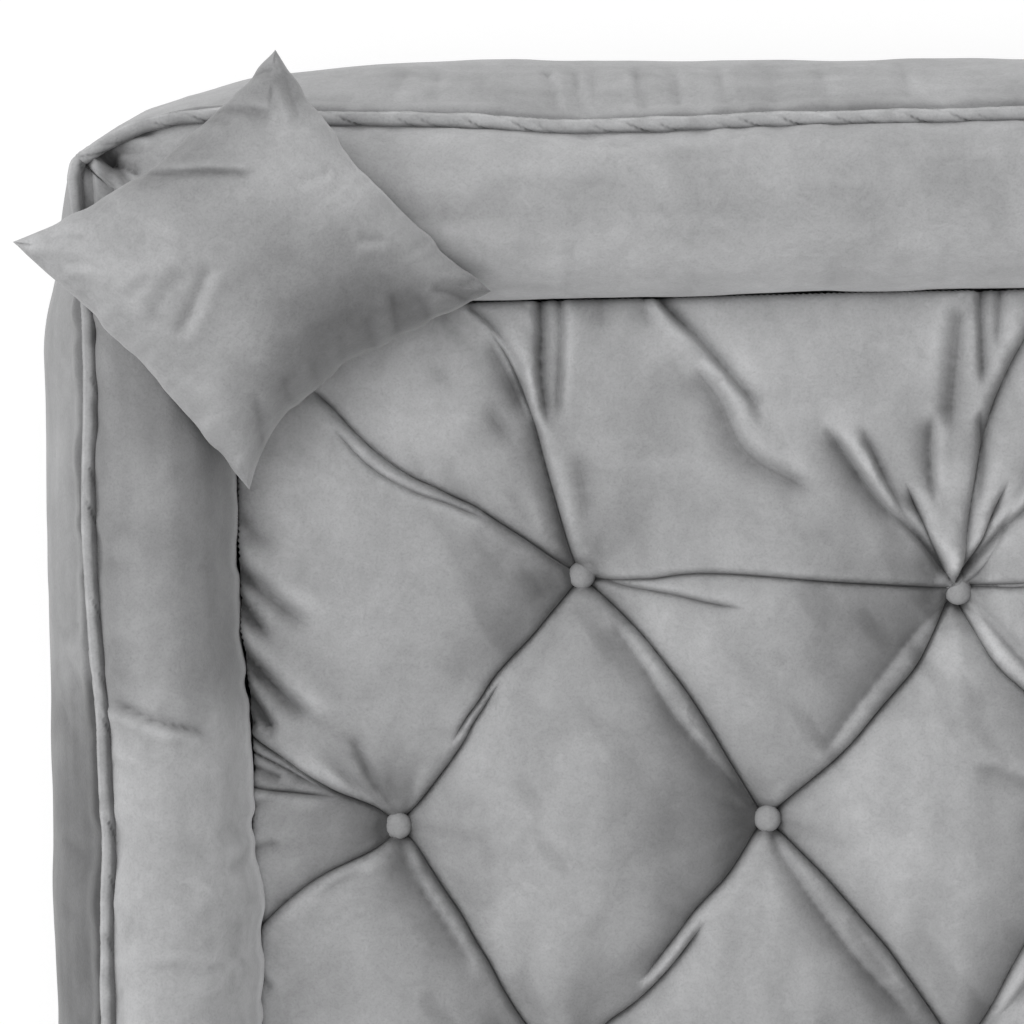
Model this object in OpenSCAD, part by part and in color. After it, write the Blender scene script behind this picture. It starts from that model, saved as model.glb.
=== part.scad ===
// Dog sofa bed: a soft base with a back and two arms, a loose button-tufted seat cushion
// and a loose throw pillow that lies across the rear left corner.
// X runs across the bed, the open front faces -Y and the floor is Z = 0.

/* [Bed] */
// Width over the bulge of both arms
bed_w = 1270; // [1150:10:1400]
// Depth from the front of the arms to the bulge of the back
bed_d = 910; // [840:10:1000]
// Height of the crown of the walls above the floor
wall_h = 265; // [240:5:320]

/* [Walls] */
// How far the outer panels swell past the welt
side_bulge = 46; // [34:1:56]
// How far the outer panels stand out past the welt at the floor
foot_out = 14; // [8:1:20]
// From the welt to the inner face of an arm
arm_inner_w = 100; // [84:2:120]
// From the welt to the inner face of the back
back_inner_w = 119; // [98:1:140]
// How far the welt seam lies below the crown of the walls
welt_drop = 29; // [22:1:45]
// Diameter of the welt cord with its cover
welt_d = 12; // [8:1:16]
// Radius of the welt at the rear corners, seen from above
corner_r = 75; // [60:1:95]
// How far the front facings of the arms dome forwards
facing_dome = 10; // [6:1:16]

/* [Cloth] */
// Thickness of the velvet with its backing
fabric_t = 2; // [1.5:0.1:2.5]
// Clearance between layers that are sewn or laid together
sew_gap = 0.3; // [0.25:0.05:0.4]

/* [Base] */
// Thickness of the foam slab under the deck
base_foam_t = 54; // [44:1:66]

/* [Seat cushion] */
// Clearance between the seat cushion and the walls
seat_gap = 3; // [2:0.5:6]
// How far the seat cushion stays back from the front of the arms
seat_front_in = 8; // [6:1:20]
// Height of the side band of the cushion
seat_box_h = 62; // [54:1:74]
// Rise of the tufted top above the side band
seat_crown_h = 48; // [38:1:56]
// How far the side band swells at the front
seat_box_swell = 4; // [2:0.5:5]
// Thickness of the foam core
seat_core_t = 44; // [34:1:48]
// Distance between tufts along a row
tuft_pitch_x = 261.5; // [225:0.5:295]
// Distance between rows of tufts
tuft_pitch_y = 167; // [140:1:195]
// Depth of the folds between tufts
tuft_valley = 18; // [12:1:22]
// Further depth of the cloth under a button
tuft_pit = 34; // [24:1:38]
// Diameter of a covered button
button_d = 19; // [15:1:23]
// Height of the dome of a covered button
button_dome = 5; // [3:0.5:7]
// Diameter of the tufting twine
twine_d = 2; // [1.4:0.2:3]
// Diameter of the washer that anchors the twine under the foam
anchor_d = 20; // [16:1:26]
// Thickness of that washer
anchor_t = 2.5; // [1.5:0.5:4]

/* [Throw pillow] */
// Side of the pillow from corner to corner, seen from above
pillow_side = 217; // [190:1:240]
// Thickness at the middle
pillow_t = 76; // [60:2:84]
// How far the middle of each side pulls in, as a share of half the side
pillow_pull_share = 0.12; // [0.06:0.01:0.16]
// Turn of the pillow seen from above, in degrees
pillow_turn = 39; // [34:0.5:44]
// How far the side over the seat hangs below the side over the walls
pillow_droop = 40; // [30:2:46]
// Further sag of the middle of that side
pillow_sag = 20; // [10:1:24]

/* [Zip] */
// Length of the zip in the back panel
zip_len = 500; // [420:10:520]
// Width of the zip tape
zip_tape_w = 26; // [20:1:30]
// Thickness of the zip tape
zip_tape_t = 1.2; // [0.8:0.1:1.6]
// Width of the closed coil
zip_coil_w = 5; // [4:0.5:6]
// Length of the slider
slider_len = 14; // [12:1:18]
// Length of the pull tab
pull_len = 30; // [24:1:36]

/* [Hidden] */

velvet = "darkgray";
foam = "lightyellow";
fibre = "white";

// Heights, from the floor up
base_z = fabric_t + sew_gap;
deck_z = base_z + base_foam_t + sew_gap;
deck_top = deck_z + fabric_t;
seat_z = deck_top + sew_gap;
seat_core_z = seat_z + fabric_t + sew_gap;
seat_seam_z = seat_z + seat_box_h;
wadding_z = seat_core_z + seat_core_t + sew_gap;
welt_h = wall_h - welt_drop;

// Plan lines
welt_r = welt_d / 2;
welt_x = bed_w / 2 - side_bulge;
welt_y = bed_d / 2 - side_bulge;
facing_y = -bed_d / 2 + facing_dome;
wall_end_y = facing_y + welt_r + sew_gap;

// Stations along a wall: the half corner, then shares of the straight run
arc_n = 3;
arm_run_shares = [0.1, 0.25, 0.5, 0.75, 0.93, 1];
back_run_shares = [0.1, 0.25, 0.5, 0.75, 0.9];
arm_n = arc_n + len(arm_run_shares);
back_n = 2 * arc_n + len(back_run_shares) + 1;
tight_r_share = 0.1;
soft_run_share = 1.9;
corner_swell_share = 0.15;
front_swell_share = 0.6;
front_run_share = 0.9;
corner_dip_share = 0.1;

// Cross-section of a wall: how far in, as shares of its inner width, and how far up from deck to crown
inner_shares = [
    [0.18, 0.955], [0.37, 1], [0.57, 0.985], [0.76, 0.91], [0.91, 0.78],
    [1, 0.58], [0.985, 0.36], [0.93, 0.16], [0.88, 0]
];
outer_n = 5;
bulge_power = 0.9;

function swell_near(distance, reach, least) = 1 - (1 - least) * exp(-pow(distance / reach, 2));
function flat(rows) = [for (row = rows) each row];

// Outer side of a wall as [in from the arm welt, in from the back welt, height]
function outer_line(swell) = [
    for (i = [0:outer_n])
        let (t = i / outer_n)
        let (out = foot_out * (1 - t) + (side_bulge - foot_out / 2) * pow(sin(180 * t), bulge_power) * swell)
        [-out, -out, base_z + t * (welt_h - welt_r - sew_gap - base_z)]
];
function inner_line(swell) = [
    [welt_r + sew_gap, welt_r + sew_gap, welt_h],
    for (share = inner_shares)
        let (dip = 1 - corner_dip_share * (1 - swell))
        [share[0] * arm_inner_w, share[0] * back_inner_w, seat_z + share[1] * (wall_h - seat_z) * dip]
];

// Direction across a line towards the inside of the wall, in the plane of one plan axis and height
function across(line, i, axis) =
    let (a = line[max(i - 1, 0)], b = line[min(i + 1, len(line) - 1)])
    let (run = b[axis] - a[axis], rise = b[2] - a[2], size = norm([run, rise]))
    [rise / size, -run / size];
function inset(line, depth) = [
    for (i = [0:len(line) - 1])
        let (arm = across(line, i, 0), back = across(line, i, 1))
        [line[i][0] + depth * arm[0], line[i][1] + depth * back[0], line[i][2] + depth * (arm[1] + back[1]) / 2]
];

// Places in plan of a line point at a station of the left arm or of the back
function corner_of(p) = [-welt_x + p[0], welt_y - p[1]];
function turn_r(p) = max(corner_r - (p[0] + p[1]) / 2, corner_r * tight_r_share);
function on_turn(p, angle) =
    let (c = corner_of(p), r = turn_r(p))
    [c[0] + r + r * cos(angle), c[1] - r + r * sin(angle), p[2]];
function arm_place(p, k, end_y) =
    let (c = corner_of(p), start_y = c[1] - turn_r(p))
    k <= arc_n
        ? on_turn(p, 135 + 45 * k / arc_n) - [0, sew_gap, 0]
        : [c[0], start_y + (end_y - start_y) * arm_run_shares[k - arc_n - 1], p[2]];
function back_place(p, k) =
    let (c = corner_of(p), start_x = c[0] + turn_r(p))
    k <= arc_n ? on_turn(p, 135 - 45 * k / arc_n)
    : k < back_n - arc_n ? [start_x * (1 - 2 * back_run_shares[k - arc_n - 1]), c[1], p[2]]
    : let (q = on_turn(p, 135 - 45 * (back_n - k) / arc_n)) [-q[0], q[1], q[2]];

// Distance of a station from the rear corner, and how full the wall is there
turn_len = corner_r * PI / 4;
arm_run = welt_y - corner_r - wall_end_y;
back_run = 2 * (welt_x - corner_r);
function arm_distance(k) =
    k <= arc_n ? turn_len * k / arc_n : turn_len + arm_run * arm_run_shares[k - arc_n - 1];
function back_distance(k) =
    k <= arc_n ? turn_len * k / arc_n
    : k >= back_n - arc_n ? turn_len * (back_n - k) / arc_n
    : let (share = back_run_shares[k - arc_n - 1]) turn_len + back_run * min(share, 1 - share);
function corner_swell(distance) = swell_near(distance, corner_r * soft_run_share, corner_swell_share);
function arm_swell(k) =
    corner_swell(arm_distance(k))
    * swell_near(turn_len + arm_run - arm_distance(k), corner_r * front_run_share, front_swell_share);
function back_swell(k) = corner_swell(back_distance(k));

function arm_grid(side, depth, end_y = wall_end_y) = [
    for (k = [0:arm_n])
        [for (p = inset(side == "outer" ? outer_line(arm_swell(k)) : inner_line(arm_swell(k)), depth))
            arm_place(p, k, end_y)]
];
function back_grid(side, depth) = [
    for (k = [0:back_n])
        [for (p = inset(side == "outer" ? outer_line(back_swell(k)) : inner_line(back_swell(k)), depth))
            back_place(p, k)]
];
function joined(a, b) = [for (k = [0:len(a) - 1]) concat(a[k], b[k])];

// A sheet of cloth between two grids of points, one on each face
function two_triangles(a, b, c, d, lean) = lean ? [[a, b, d], [b, c, d]] : [[a, b, c], [a, c, d]];
module sheet(face, back, lean = function (i, j) false) {
    rows = len(face);
    cols = len(face[0]);
    under = rows * cols;
    at = function (i, j) i * cols + j;
    grid = [for (i = [0:rows - 2], j = [0:cols - 2])
        each two_triangles(at(i, j), at(i, j + 1), at(i + 1, j + 1), at(i + 1, j), lean(i, j))];
    rim = concat(
        [for (j = [0:cols - 2]) [at(0, j + 1), at(0, j)]],
        [for (i = [0:rows - 2]) [at(i, 0), at(i + 1, 0)]],
        [for (j = [0:cols - 2]) [at(rows - 1, j), at(rows - 1, j + 1)]],
        [for (i = [0:rows - 2]) [at(i + 1, cols - 1), at(i, cols - 1)]]
    );
    polyhedron(
        concat(flat(face), flat(back)),
        concat(
            grid,
            [for (f = grid) [f[2] + under, f[1] + under, f[0] + under]],
            [for (e = rim) each [[e[0], e[1], e[1] + under], [e[0], e[1] + under, e[0] + under]]]
        )
    );
}

// A solid through rings of points, closed at both ends
module loft(rings, flip = false) {
    rows = len(rings);
    n = len(rings[0]);
    middle = function (ring) [for (axis = [0:2]) [for (p = ring) p[axis]] * [for (p = ring) 1] / n];
    first = rows * n;
    faces = concat(
        [for (i = [0:rows - 2], j = [0:n - 1])
            let (a = i * n + j, b = i * n + (j + 1) % n)
            each [[a, b, b + n], [a, b + n, a + n]]],
        [for (j = [0:n - 1]) [first, (j + 1) % n, j]],
        [for (j = [0:n - 1]) [first + 1, (rows - 1) * n + j, (rows - 1) * n + (j + 1) % n]]
    );
    polyhedron(
        concat(flat(rings), [middle(rings[0]), middle(rings[rows - 1])]),
        [for (f = faces) flip ? [f[2], f[1], f[0]] : f]
    );
}

cord_sides = 6;
function unit(v) = v / norm(v);
function ring(centre, u, v, r) =
    [for (i = [0:cord_sides - 1]) let (a = 360 * i / cord_sides) centre + r * (cos(a) * u + sin(a) * v)];
function tangent(path, i) = unit(path[min(i + 1, len(path) - 1)] - path[max(i - 1, 0)]);
// A cord along a path; it may be given the directions in which its two ends are cut square
module cord_along(path, side, first = undef, last = undef) {
    end = len(path) - 1;
    heading = function (i)
        i == 0 && first != undef ? unit(first) : i == end && last != undef ? unit(last) : tangent(path, i);
    loft([for (i = [0:end]) ring(path[i], unit(cross(side, heading(i))), side, welt_r)]);
}

// Outline of the base, a distance outside the welt line, with its front edge at front_y
function base_outline(out, front_y) =
    let (p = [-out, -out, 0])
    let (left = [for (k = [arm_n:-1:1]) let (q = arm_place(p, k, front_y)) [q[0], q[1]]])
    let (rear = [for (k = [0:back_n]) let (q = back_place(p, k)) [q[0], q[1]]])
    concat(left, rear, [for (i = [len(left) - 1:-1:0]) [-left[i][0], left[i][1]]]);
module base_layer(out, front_y, z, height) {
    translate([0, 0, z]) linear_extrude(height) polygon(base_outline(out, front_y));
}
module on_right() {
    mirror([1, 0, 0]) children();
}

module nonslip_bottom() {
    color("dimgray") base_layer(foot_out, facing_y, 0, fabric_t);
}
module base_foam() {
    color(foam) base_layer(foot_out - fabric_t - sew_gap, wall_end_y, base_z, base_foam_t);
}
module deck_panel() {
    color(velvet) base_layer(foot_out - fabric_t - sew_gap, wall_end_y, deck_z, fabric_t);
}

// The front of the base between the arms, bowed a little by the foam behind it
band_bow_share = 0.35;
band_rows = 4;
module front_band() {
    half_w = welt_x - inner_shares[len(inner_shares) - 1][0] * arm_inner_w - welt_r - sew_gap;
    low = base_z;
    high = deck_top;
    bow = facing_dome * band_bow_share;
    front = function (x, t, y) [x, y - bow * sin(180 * t), low + (high - low) * t];
    face = [for (x = [-half_w, 0, half_w]) [for (i = [0:band_rows]) front(x, i / band_rows, facing_y)]];
    back = [for (x = [-half_w, 0, half_w]) [for (i = [0:band_rows]) front(x, i / band_rows, facing_y + fabric_t)]];
    color(velvet) sheet(back, face);
}

module back_outer_panel() {
    color(velvet) sheet(back_grid("outer", fabric_t), back_grid("outer", 0));
}
module left_outer_panel() {
    color(velvet) sheet(arm_grid("outer", 0), arm_grid("outer", fabric_t));
}
module right_outer_panel() {
    on_right() left_outer_panel();
}
module back_inner_panel() {
    color(velvet) sheet(back_grid("inner", fabric_t), back_grid("inner", 0));
}
module left_inner_panel() {
    color(velvet) sheet(arm_grid("inner", 0), arm_grid("inner", fabric_t));
}
module right_inner_panel() {
    on_right() left_inner_panel();
}

// The fibre inserts follow the inside of their covers and stand on the deck
function above_deck(rings) = [for (r = rings) [for (p = r) [p[0], p[1], max(p[2], seat_z)]]];
module back_fill() {
    depth = fabric_t + sew_gap;
    rings = above_deck(joined(back_grid("outer", depth), back_grid("inner", depth)));
    color(fibre) loft(rings);
}
module left_arm_fill() {
    depth = fabric_t + sew_gap;
    rings = above_deck(joined(arm_grid("outer", depth), arm_grid("inner", depth)));
    color(fibre) loft(rings, flip = true);
}
module right_arm_fill() {
    on_right() left_arm_fill();
}

up = [0, 0, 1];
module back_welt() {
    color(velvet) cord_along([for (k = [0:back_n]) back_place([0, 0, welt_h], k)], up, [1, 1, 0], [1, -1, 0]);
}
module left_welt() {
    color(velvet) cord_along([for (k = [0:arm_n]) arm_place([0, 0, welt_h], k, wall_end_y)], up, [-1, -1, 0]);
}
module right_welt() {
    on_right() left_welt();
}

// Front end of an arm: its outline, the domed facing inside it and the welt round it
welt_proud_share = 0.3;
function front_line(depth) =
    let (line = concat(outer_line(arm_swell(arm_n)), inner_line(arm_swell(arm_n))))
    let (foot = line[len(line) - 1])
    inset(concat(line, [[foot[0], foot[1], base_z]]), depth);
function in_facing(p, y) = [-welt_x + p[0], y, p[2]];
module left_facing_welt() {
    line = front_line(welt_r * (1 - welt_proud_share));
    path = [for (p = line) in_facing([p[0], 0, max(p[2], base_z + welt_r)], facing_y)];
    color(velvet) cord_along(path, [0, 1, 0]);
}
module right_facing_welt() {
    on_right() left_facing_welt();
}
module left_facing() {
    line = [for (p = front_line(welt_r * (2 - welt_proud_share) + 2 * sew_gap))
        [p[0], 0, max(p[2], base_z)]];
    mid = [arm_inner_w * 0.4, 0, wall_h / 2];
    cut = function (scale, y) [for (p = line) in_facing(mid + scale * (p - mid), y)];
    front = [cut(1, facing_y), cut(0.7, facing_y - facing_dome * 0.7), cut(0.25, facing_y - facing_dome)];
    rear = [for (i = [2:-1:0]) [for (p = front[i]) p + [0, fabric_t, 0]]];
    color(velvet) loft(concat(rear, front));
}
module right_facing() {
    on_right() left_facing();
}

// Zip low on the back, flat on the first facet of the outer panel
zip_facet = outer_line(1);
zip_rise = [0, zip_facet[0][1] - zip_facet[1][1], zip_facet[1][2] - zip_facet[0][2]];
zip_lean = atan2(zip_rise[1], zip_rise[2]);
zip_mid = [0, welt_y, 0] + ([0, -zip_facet[0][1], zip_facet[0][2]] + [0, -zip_facet[1][1], zip_facet[1][2]]) / 2;
// Frame of the zip: X along it, Y out of the panel, Z up the panel
module on_zip() {
    translate(zip_mid) rotate([-zip_lean, 0, 0]) children();
}
coil_y = sew_gap + zip_tape_t;
coil_t = zip_coil_w * 0.45;
slider_w = zip_coil_w * 1.9;
slider_t = coil_t + zip_tape_t;
slider_x = -zip_len / 2 + slider_len;
pull_bar_r = zip_tape_t * 0.8;
eye_gap = 0.05;
eye_r = 2 * pull_bar_r;
eye_w = zip_tape_t * 1.6;
pull_w = slider_w;
pull_slot_w = eye_w + 4 * sew_gap;
pull_bar_y = coil_y + sew_gap + slider_t + pull_bar_r + 2 * sew_gap;

module zip_tape() {
    color("gray") on_zip() translate([-zip_len / 2, sew_gap, -zip_tape_w / 2])
        cube([zip_len, zip_tape_t, zip_tape_w]);
}
module zip_coil() {
    stop = zip_coil_w * 0.8;
    color("dimgray") on_zip() translate([-zip_len / 2 + stop, coil_y, -zip_coil_w / 2])
        cube([zip_len - 2 * stop, coil_t, zip_coil_w]);
}
// The slider straddles the coil and carries the pull tab's bar in its eye
module zip_slider() {
    color("silver") on_zip() translate([slider_x, 0, 0]) difference() {
        union() {
            translate([-slider_len / 2, coil_y + sew_gap, -slider_w / 2])
                cube([slider_len, slider_t, slider_w]);
            translate([-eye_r, coil_y + slider_t, -eye_w / 2]) cube([2 * eye_r, pull_bar_y - coil_y - slider_t, eye_w]);
            translate([0, pull_bar_y, -eye_w / 2]) cylinder(h = eye_w, r = eye_r, $fn = 48);
        }
        translate([-slider_len, coil_y - coil_t, -zip_coil_w / 2 - sew_gap])
            cube([2 * slider_len, 2 * coil_t + sew_gap, zip_coil_w + 2 * sew_gap]);
        translate([0, pull_bar_y, -slider_w]) cylinder(h = 2 * slider_w, r = pull_bar_r + eye_gap, $fn = 48);
    }
}
module zip_pull() {
    reach = eye_r + 4 * sew_gap;
    color("silver") on_zip() translate([slider_x, pull_bar_y, 0]) {
        translate([0, 0, -pull_w / 2]) cylinder(h = pull_w, r = pull_bar_r, $fn = 48);
        difference() {
            translate([-pull_len, -pull_bar_r, -pull_w / 2]) cube([pull_len, 2 * pull_bar_r, pull_w]);
            translate([-reach, -2 * pull_bar_r, -pull_slot_w / 2])
                cube([2 * reach, 4 * pull_bar_r, pull_slot_w]);
        }
    }
}

// Seat cushion: its outline in plan, in shares of its half sizes
seat_half_w = welt_x - arm_inner_w - seat_gap;
seat_rear_y = welt_y - back_inner_w - seat_gap;
seat_front_y = -bed_d / 2 + seat_front_in;
seat_mid_y = (seat_rear_y + seat_front_y) / 2;
seat_half_d = (seat_rear_y - seat_front_y) / 2;
seat_corner_share = 0.035;
seat_corner_power = 8;
edge_shares = [-1, -0.96, -0.86, -0.5, 0, 0.5, 0.86, 0.96, 1];
function in_seat(u, v, inward = 0) =
    let (c = pow(abs(u * v), seat_corner_power) * seat_corner_share * seat_half_w)
    [u * (seat_half_w - inward - c), seat_mid_y + v * (seat_half_d - inward - c)];
function seat_outline(inward) =
    let (n = len(edge_shares) - 1)
    concat(
        [for (i = [0:n - 1]) in_seat(edge_shares[i], -1, inward)],
        [for (i = [0:n - 1]) in_seat(1, edge_shares[i], inward)],
        [for (i = [0:n - 1]) in_seat(-edge_shares[i], 1, inward)],
        [for (i = [0:n - 1]) in_seat(-1, -edge_shares[i], inward)]
    );

// Tufts: three rows, the middle one longer by one tuft and set half a pitch over
half_pitch = tuft_pitch_x / 2;
tufts = [
    for (row = [-1:1], i = [-1.5:1.5])
        if (row == 0) [2 * i, 0],
    for (row = [-1, 1], i = [-1:1]) [2 * i, row]
];
// How far each tuft strays from its place, as shares of the pitch between rows
stray_shares = [
    [0.004, 0.012], [-0.013, 0.014], [0.01, -0.01], [-0.008, 0.012],
    [0.012, 0.01], [-0.01, -0.015], [0.012, 0.012],
    [0.01, 0.049], [0.021, -0.047], [-0.008, 0.02]
];
function unique(points) = [for (i = [0:len(points) - 1])
    if (len([for (j = [0:1:i - 1]) if (points[j] == points[i]) 1]) == 0) points[i]];
tuft_cells = unique(tufts);
function stray(cell) =
    let (near = [for (i = [0:len(tuft_cells) - 1])
        let (away = [abs(cell[0] - tuft_cells[i][0]), abs(cell[1] - tuft_cells[i][1])])
        stray_shares[i] * max(0, 1 - away[0]) * max(0, 1 - away[1])])
    tuft_pitch_y * [for (axis = [0, 1]) [for (s = near) s[axis]] * [for (s = near) 1]];
// A cell is counted in half pitches across and rows up from the middle of the cushion
function at_cell(cell) = [cell[0] * half_pitch, seat_mid_y + cell[1] * tuft_pitch_y];
function tuft_place(cell) = at_cell(cell) + stray(cell);

// Folds run between neighbouring tufts, and from the outer tufts straight to the edge
far = 20;
folds = concat(
    [for (x = [-2, 0, 2], row = [-1, 1], side = [-1, 1]) [[x, row], [x + side, 0]]],
    [for (x = [-2, 0], row = [-1, 1]) [[x, row], [x + 2, row]]],
    [for (x = [-2, 0, 2], row = [-1, 1]) [[x, row], [x, row * far]]],
    [for (side = [-1, 1]) [[3 * side, 0], [far * side, 0]]]
);
function segment_distance(p, a, b) =
    let (ab = b - a, t = min(1, max(0, (p - a) * ab / (ab * ab))))
    norm(p - a - t * ab);
fold_w_share = 0.16;
pit_w_share = 0.18;
function crown(share) = pow(max(0, 1 - pow(abs(share), 8)), 0.45);
function seat_height(cell, u, v) =
    let (p = at_cell(cell))
    let (fold = min([for (f = folds) segment_distance(p, at_cell(f[0]), at_cell(f[1]))]))
    let (pit = min([for (c = tuft_cells) norm(p - at_cell(c))]))
    let (edge = crown(u) * crown(v))
    seat_seam_z + fabric_t + edge * (seat_crown_h
        - tuft_valley * exp(-fold / (tuft_pitch_y * fold_w_share))
        - tuft_pit * exp(-pit / (tuft_pitch_y * pit_w_share)));

// Grid of the tufted top: four steps between tufts and four closing up towards the edge
steps = 4;
margin_shares = [0.42, 0.72, 0.9, 1];
function tuft_lines(inner, edge) = concat(
    [for (i = [steps - 1:-1:0]) -(inner + (edge - inner) * margin_shares[i])],
    [for (i = [0:2 * inner * steps]) -inner + i / steps],
    [for (i = [0:steps - 1]) inner + (edge - inner) * margin_shares[i]]
);
across_cells = tuft_lines(3, seat_half_w / half_pitch);
along_cells = tuft_lines(1, seat_half_d / tuft_pitch_y);
// The cloth is thicker straight down than across, because it slopes
slope_t = 1.3 * fabric_t;
function seat_point(i, j, drop, inward) =
    let (cell = [across_cells[i], along_cells[j]])
    let (u = cell[0] * half_pitch / seat_half_w, v = cell[1] * tuft_pitch_y / seat_half_d)
    let (rim = i == 0 || j == 0 || i == len(across_cells) - 1 || j == len(along_cells) - 1)
    let (place = in_seat(u, v, rim ? inward : 0) + stray(cell))
    [place[0], place[1], seat_height(cell, u, v) - (rim ? min(drop, fabric_t) + inward : drop)];
function seat_grid(drop, inward = 0) = [
    for (i = [0:len(across_cells) - 1])
        [for (j = [0:len(along_cells) - 1]) seat_point(i, j, drop, inward)]
];
// Splits each cell of the grid along the fold that crosses it
function fold_lean(i, j) =
    let (block_x = floor((i - steps) / steps), block_y = floor((j - steps) / steps))
    (block_x + block_y) % 2 != 0;

// A hole for the twine at each tuft
module twine_holes() {
    for (cell = tuft_cells) translate(concat(tuft_place(cell), [seat_z]))
        cylinder(h = 2 * seat_box_h, d = twine_d + 2 * sew_gap, $fn = 24);
}
module seat_top_panel() {
    color(velvet) difference() {
        sheet(seat_grid(slope_t), seat_grid(0), function (i, j) fold_lean(i, j));
        twine_holes();
    }
}
module seat_wadding() {
    top = seat_grid(slope_t + sew_gap, 2 * fabric_t);
    floor_grid = [for (row = top) [for (p = row) [p[0], p[1], wadding_z]]];
    color(fibre) difference() {
        sheet(floor_grid, top, function (i, j) fold_lean(i, j));
        twine_holes();
    }
}
module seat_boxing() {
    low = seat_z + fabric_t + sew_gap;
    high = seat_seam_z - sew_gap;
    n = 4 * (len(edge_shares) - 1);
    outside = seat_outline(0);
    inside = seat_outline(fabric_t);
    ring_at = function (i, y_out) [
        [outside[i][0], outside[i][1], low],
        [outside[i][0], outside[i][1] - y_out, (low + high) / 2],
        [outside[i][0], outside[i][1], high],
        [inside[i][0], inside[i][1], high],
        [inside[i][0], inside[i][1] - y_out, (low + high) / 2],
        [inside[i][0], inside[i][1], low]
    ];
    rings = [for (i = [0:n - 1]) ring_at(i, i > 0 && i < n / 4 ? seat_box_swell : 0)];
    points = flat(rings);
    m = len(rings[0]);
    color(velvet) polyhedron(points, [
        for (i = [0:n - 1], j = [0:m - 1])
            let (a = i * m + j, b = i * m + (j + 1) % m)
            let (c = ((i + 1) % n) * m + (j + 1) % m, d = ((i + 1) % n) * m + j)
            each [[a, b, c], [a, c, d]]
    ]);
}
module seat_bottom_panel() {
    color("dimgray") translate([0, 0, seat_z]) linear_extrude(fabric_t) polygon(seat_outline(0));
}
module seat_foam_core() {
    pocket = anchor_t + 2 * sew_gap;
    color(foam) difference() {
        translate([0, 0, seat_core_z]) linear_extrude(seat_core_t)
            polygon(seat_outline(fabric_t + 2 * sew_gap));
        for (cell = tuft_cells) translate(concat(tuft_place(cell), [seat_core_z])) {
            translate([0, 0, -seat_core_t]) cylinder(h = 3 * seat_core_t, d = twine_d + 2 * sew_gap, $fn = 24);
            translate([0, 0, -pocket]) cylinder(h = 2 * pocket, d = anchor_d + 4 * sew_gap, $fn = 48);
        }
    }
}

// Buttons sit in the pits, their backs coned like the gathered cloth behind a covered button
button_cone = button_d * 0.72;
button_rim = button_d * 0.1;
pit_z = seat_seam_z + fabric_t + seat_crown_h - tuft_valley - tuft_pit;
button_z = pit_z + twine_d * 0.6 + 2 * sew_gap;
module tuft_buttons() {
    r = button_d / 2;
    dome_n = 6;
    dome = [for (i = [0:dome_n])
        let (a = 90 * i / dome_n)
        [r * cos(a), button_cone + button_rim + button_dome * sin(a)]];
    color(velvet) for (cell = tuft_cells)
        translate(concat(tuft_place(cell), [button_z])) rotate_extrude($fn = 48)
            polygon(concat([[0, 0], [twine_d / 2, 0], [r, button_cone]], dome));
}
module tuft_twine() {
    low = seat_core_z + sew_gap + anchor_t;
    color("beige") for (cell = tuft_cells)
        translate(concat(tuft_place(cell), [low])) cylinder(h = button_z - low, d = twine_d, $fn = 24);
}
module twine_anchors() {
    color("gray") for (cell = tuft_cells)
        translate(concat(tuft_place(cell), [seat_core_z + sew_gap])) cylinder(h = anchor_t, d = anchor_d, $fn = 48);
}

// Throw pillow: two panels sewn edge to edge round a fibre fill, draped over the corner of the walls
pillow_n = 9;
pillow_power = 0.42;
under_share = 0.25;
droop_power = 1.6;
pillow_x = -welt_x + arm_inner_w * 1.134;
pillow_y = welt_y - back_inner_w * 0.87;
pillow_z = wall_h + pillow_t * 0.357;
module on_pillow() {
    translate([pillow_x, pillow_y, pillow_z]) rotate([0, 0, pillow_turn]) children();
}
function pillow_share(i) = sin(90 * (2 * i / pillow_n - 1));
// Height of the seam plane: level over the walls, lower towards the seat
function pillow_hang(u, v) =
    let (down = max(0, (1 - v) / 2))
    -pillow_droop * pow(down, droop_power) - pillow_sag * (1 - u * u) * down * down;
function pillow_point(u, v, rise) =
    let (x = u * (1 - pillow_pull_share * (1 - v * v) * abs(u)), y = v * (1 - pillow_pull_share * (1 - u * u) * abs(v)))
    let (h = pillow_t * pow(max(0, (1 - u * u) * (1 - v * v)), pillow_power))
    [pillow_side / 2 * x, pillow_side / 2 * y, pillow_hang(u, v) + rise[0] * h + rise[1]];
function pillow_grid(rise, trim = 0) = [
    for (i = [trim:pillow_n - trim])
        [for (j = [trim:pillow_n - trim]) pillow_point(pillow_share(i), pillow_share(j), rise)]
];
over = 1 - under_share;
module pillow_front_panel() {
    color(velvet) on_pillow()
        sheet(pillow_grid([over, sew_gap / 2]), pillow_grid([over, sew_gap / 2 + fabric_t]));
}
module pillow_back_panel() {
    color(velvet) on_pillow()
        sheet(pillow_grid([-under_share, -sew_gap / 2 - fabric_t]), pillow_grid([-under_share, -sew_gap / 2]));
}
// The fill keeps to the same lines as its panels, one line in from the seam
module pillow_fill() {
    color(fibre) on_pillow() sheet(
        pillow_grid([-under_share, 1.5 * sew_gap], 1),
        pillow_grid([over, -1.5 * sew_gap], 1)
    );
}

nonslip_bottom();
base_foam();
deck_panel();
front_band();
back_outer_panel();
left_outer_panel();
right_outer_panel();
back_inner_panel();
left_inner_panel();
right_inner_panel();
back_fill();
left_arm_fill();
right_arm_fill();
back_welt();
left_welt();
right_welt();
left_facing();
right_facing();
left_facing_welt();
right_facing_welt();
zip_tape();
zip_coil();
zip_slider();
zip_pull();
seat_top_panel();
seat_boxing();
seat_bottom_panel();
seat_wadding();
seat_foam_core();
tuft_buttons();
tuft_twine();
twine_anchors();
pillow_front_panel();
pillow_back_panel();
pillow_fill();
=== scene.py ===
import math

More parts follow.
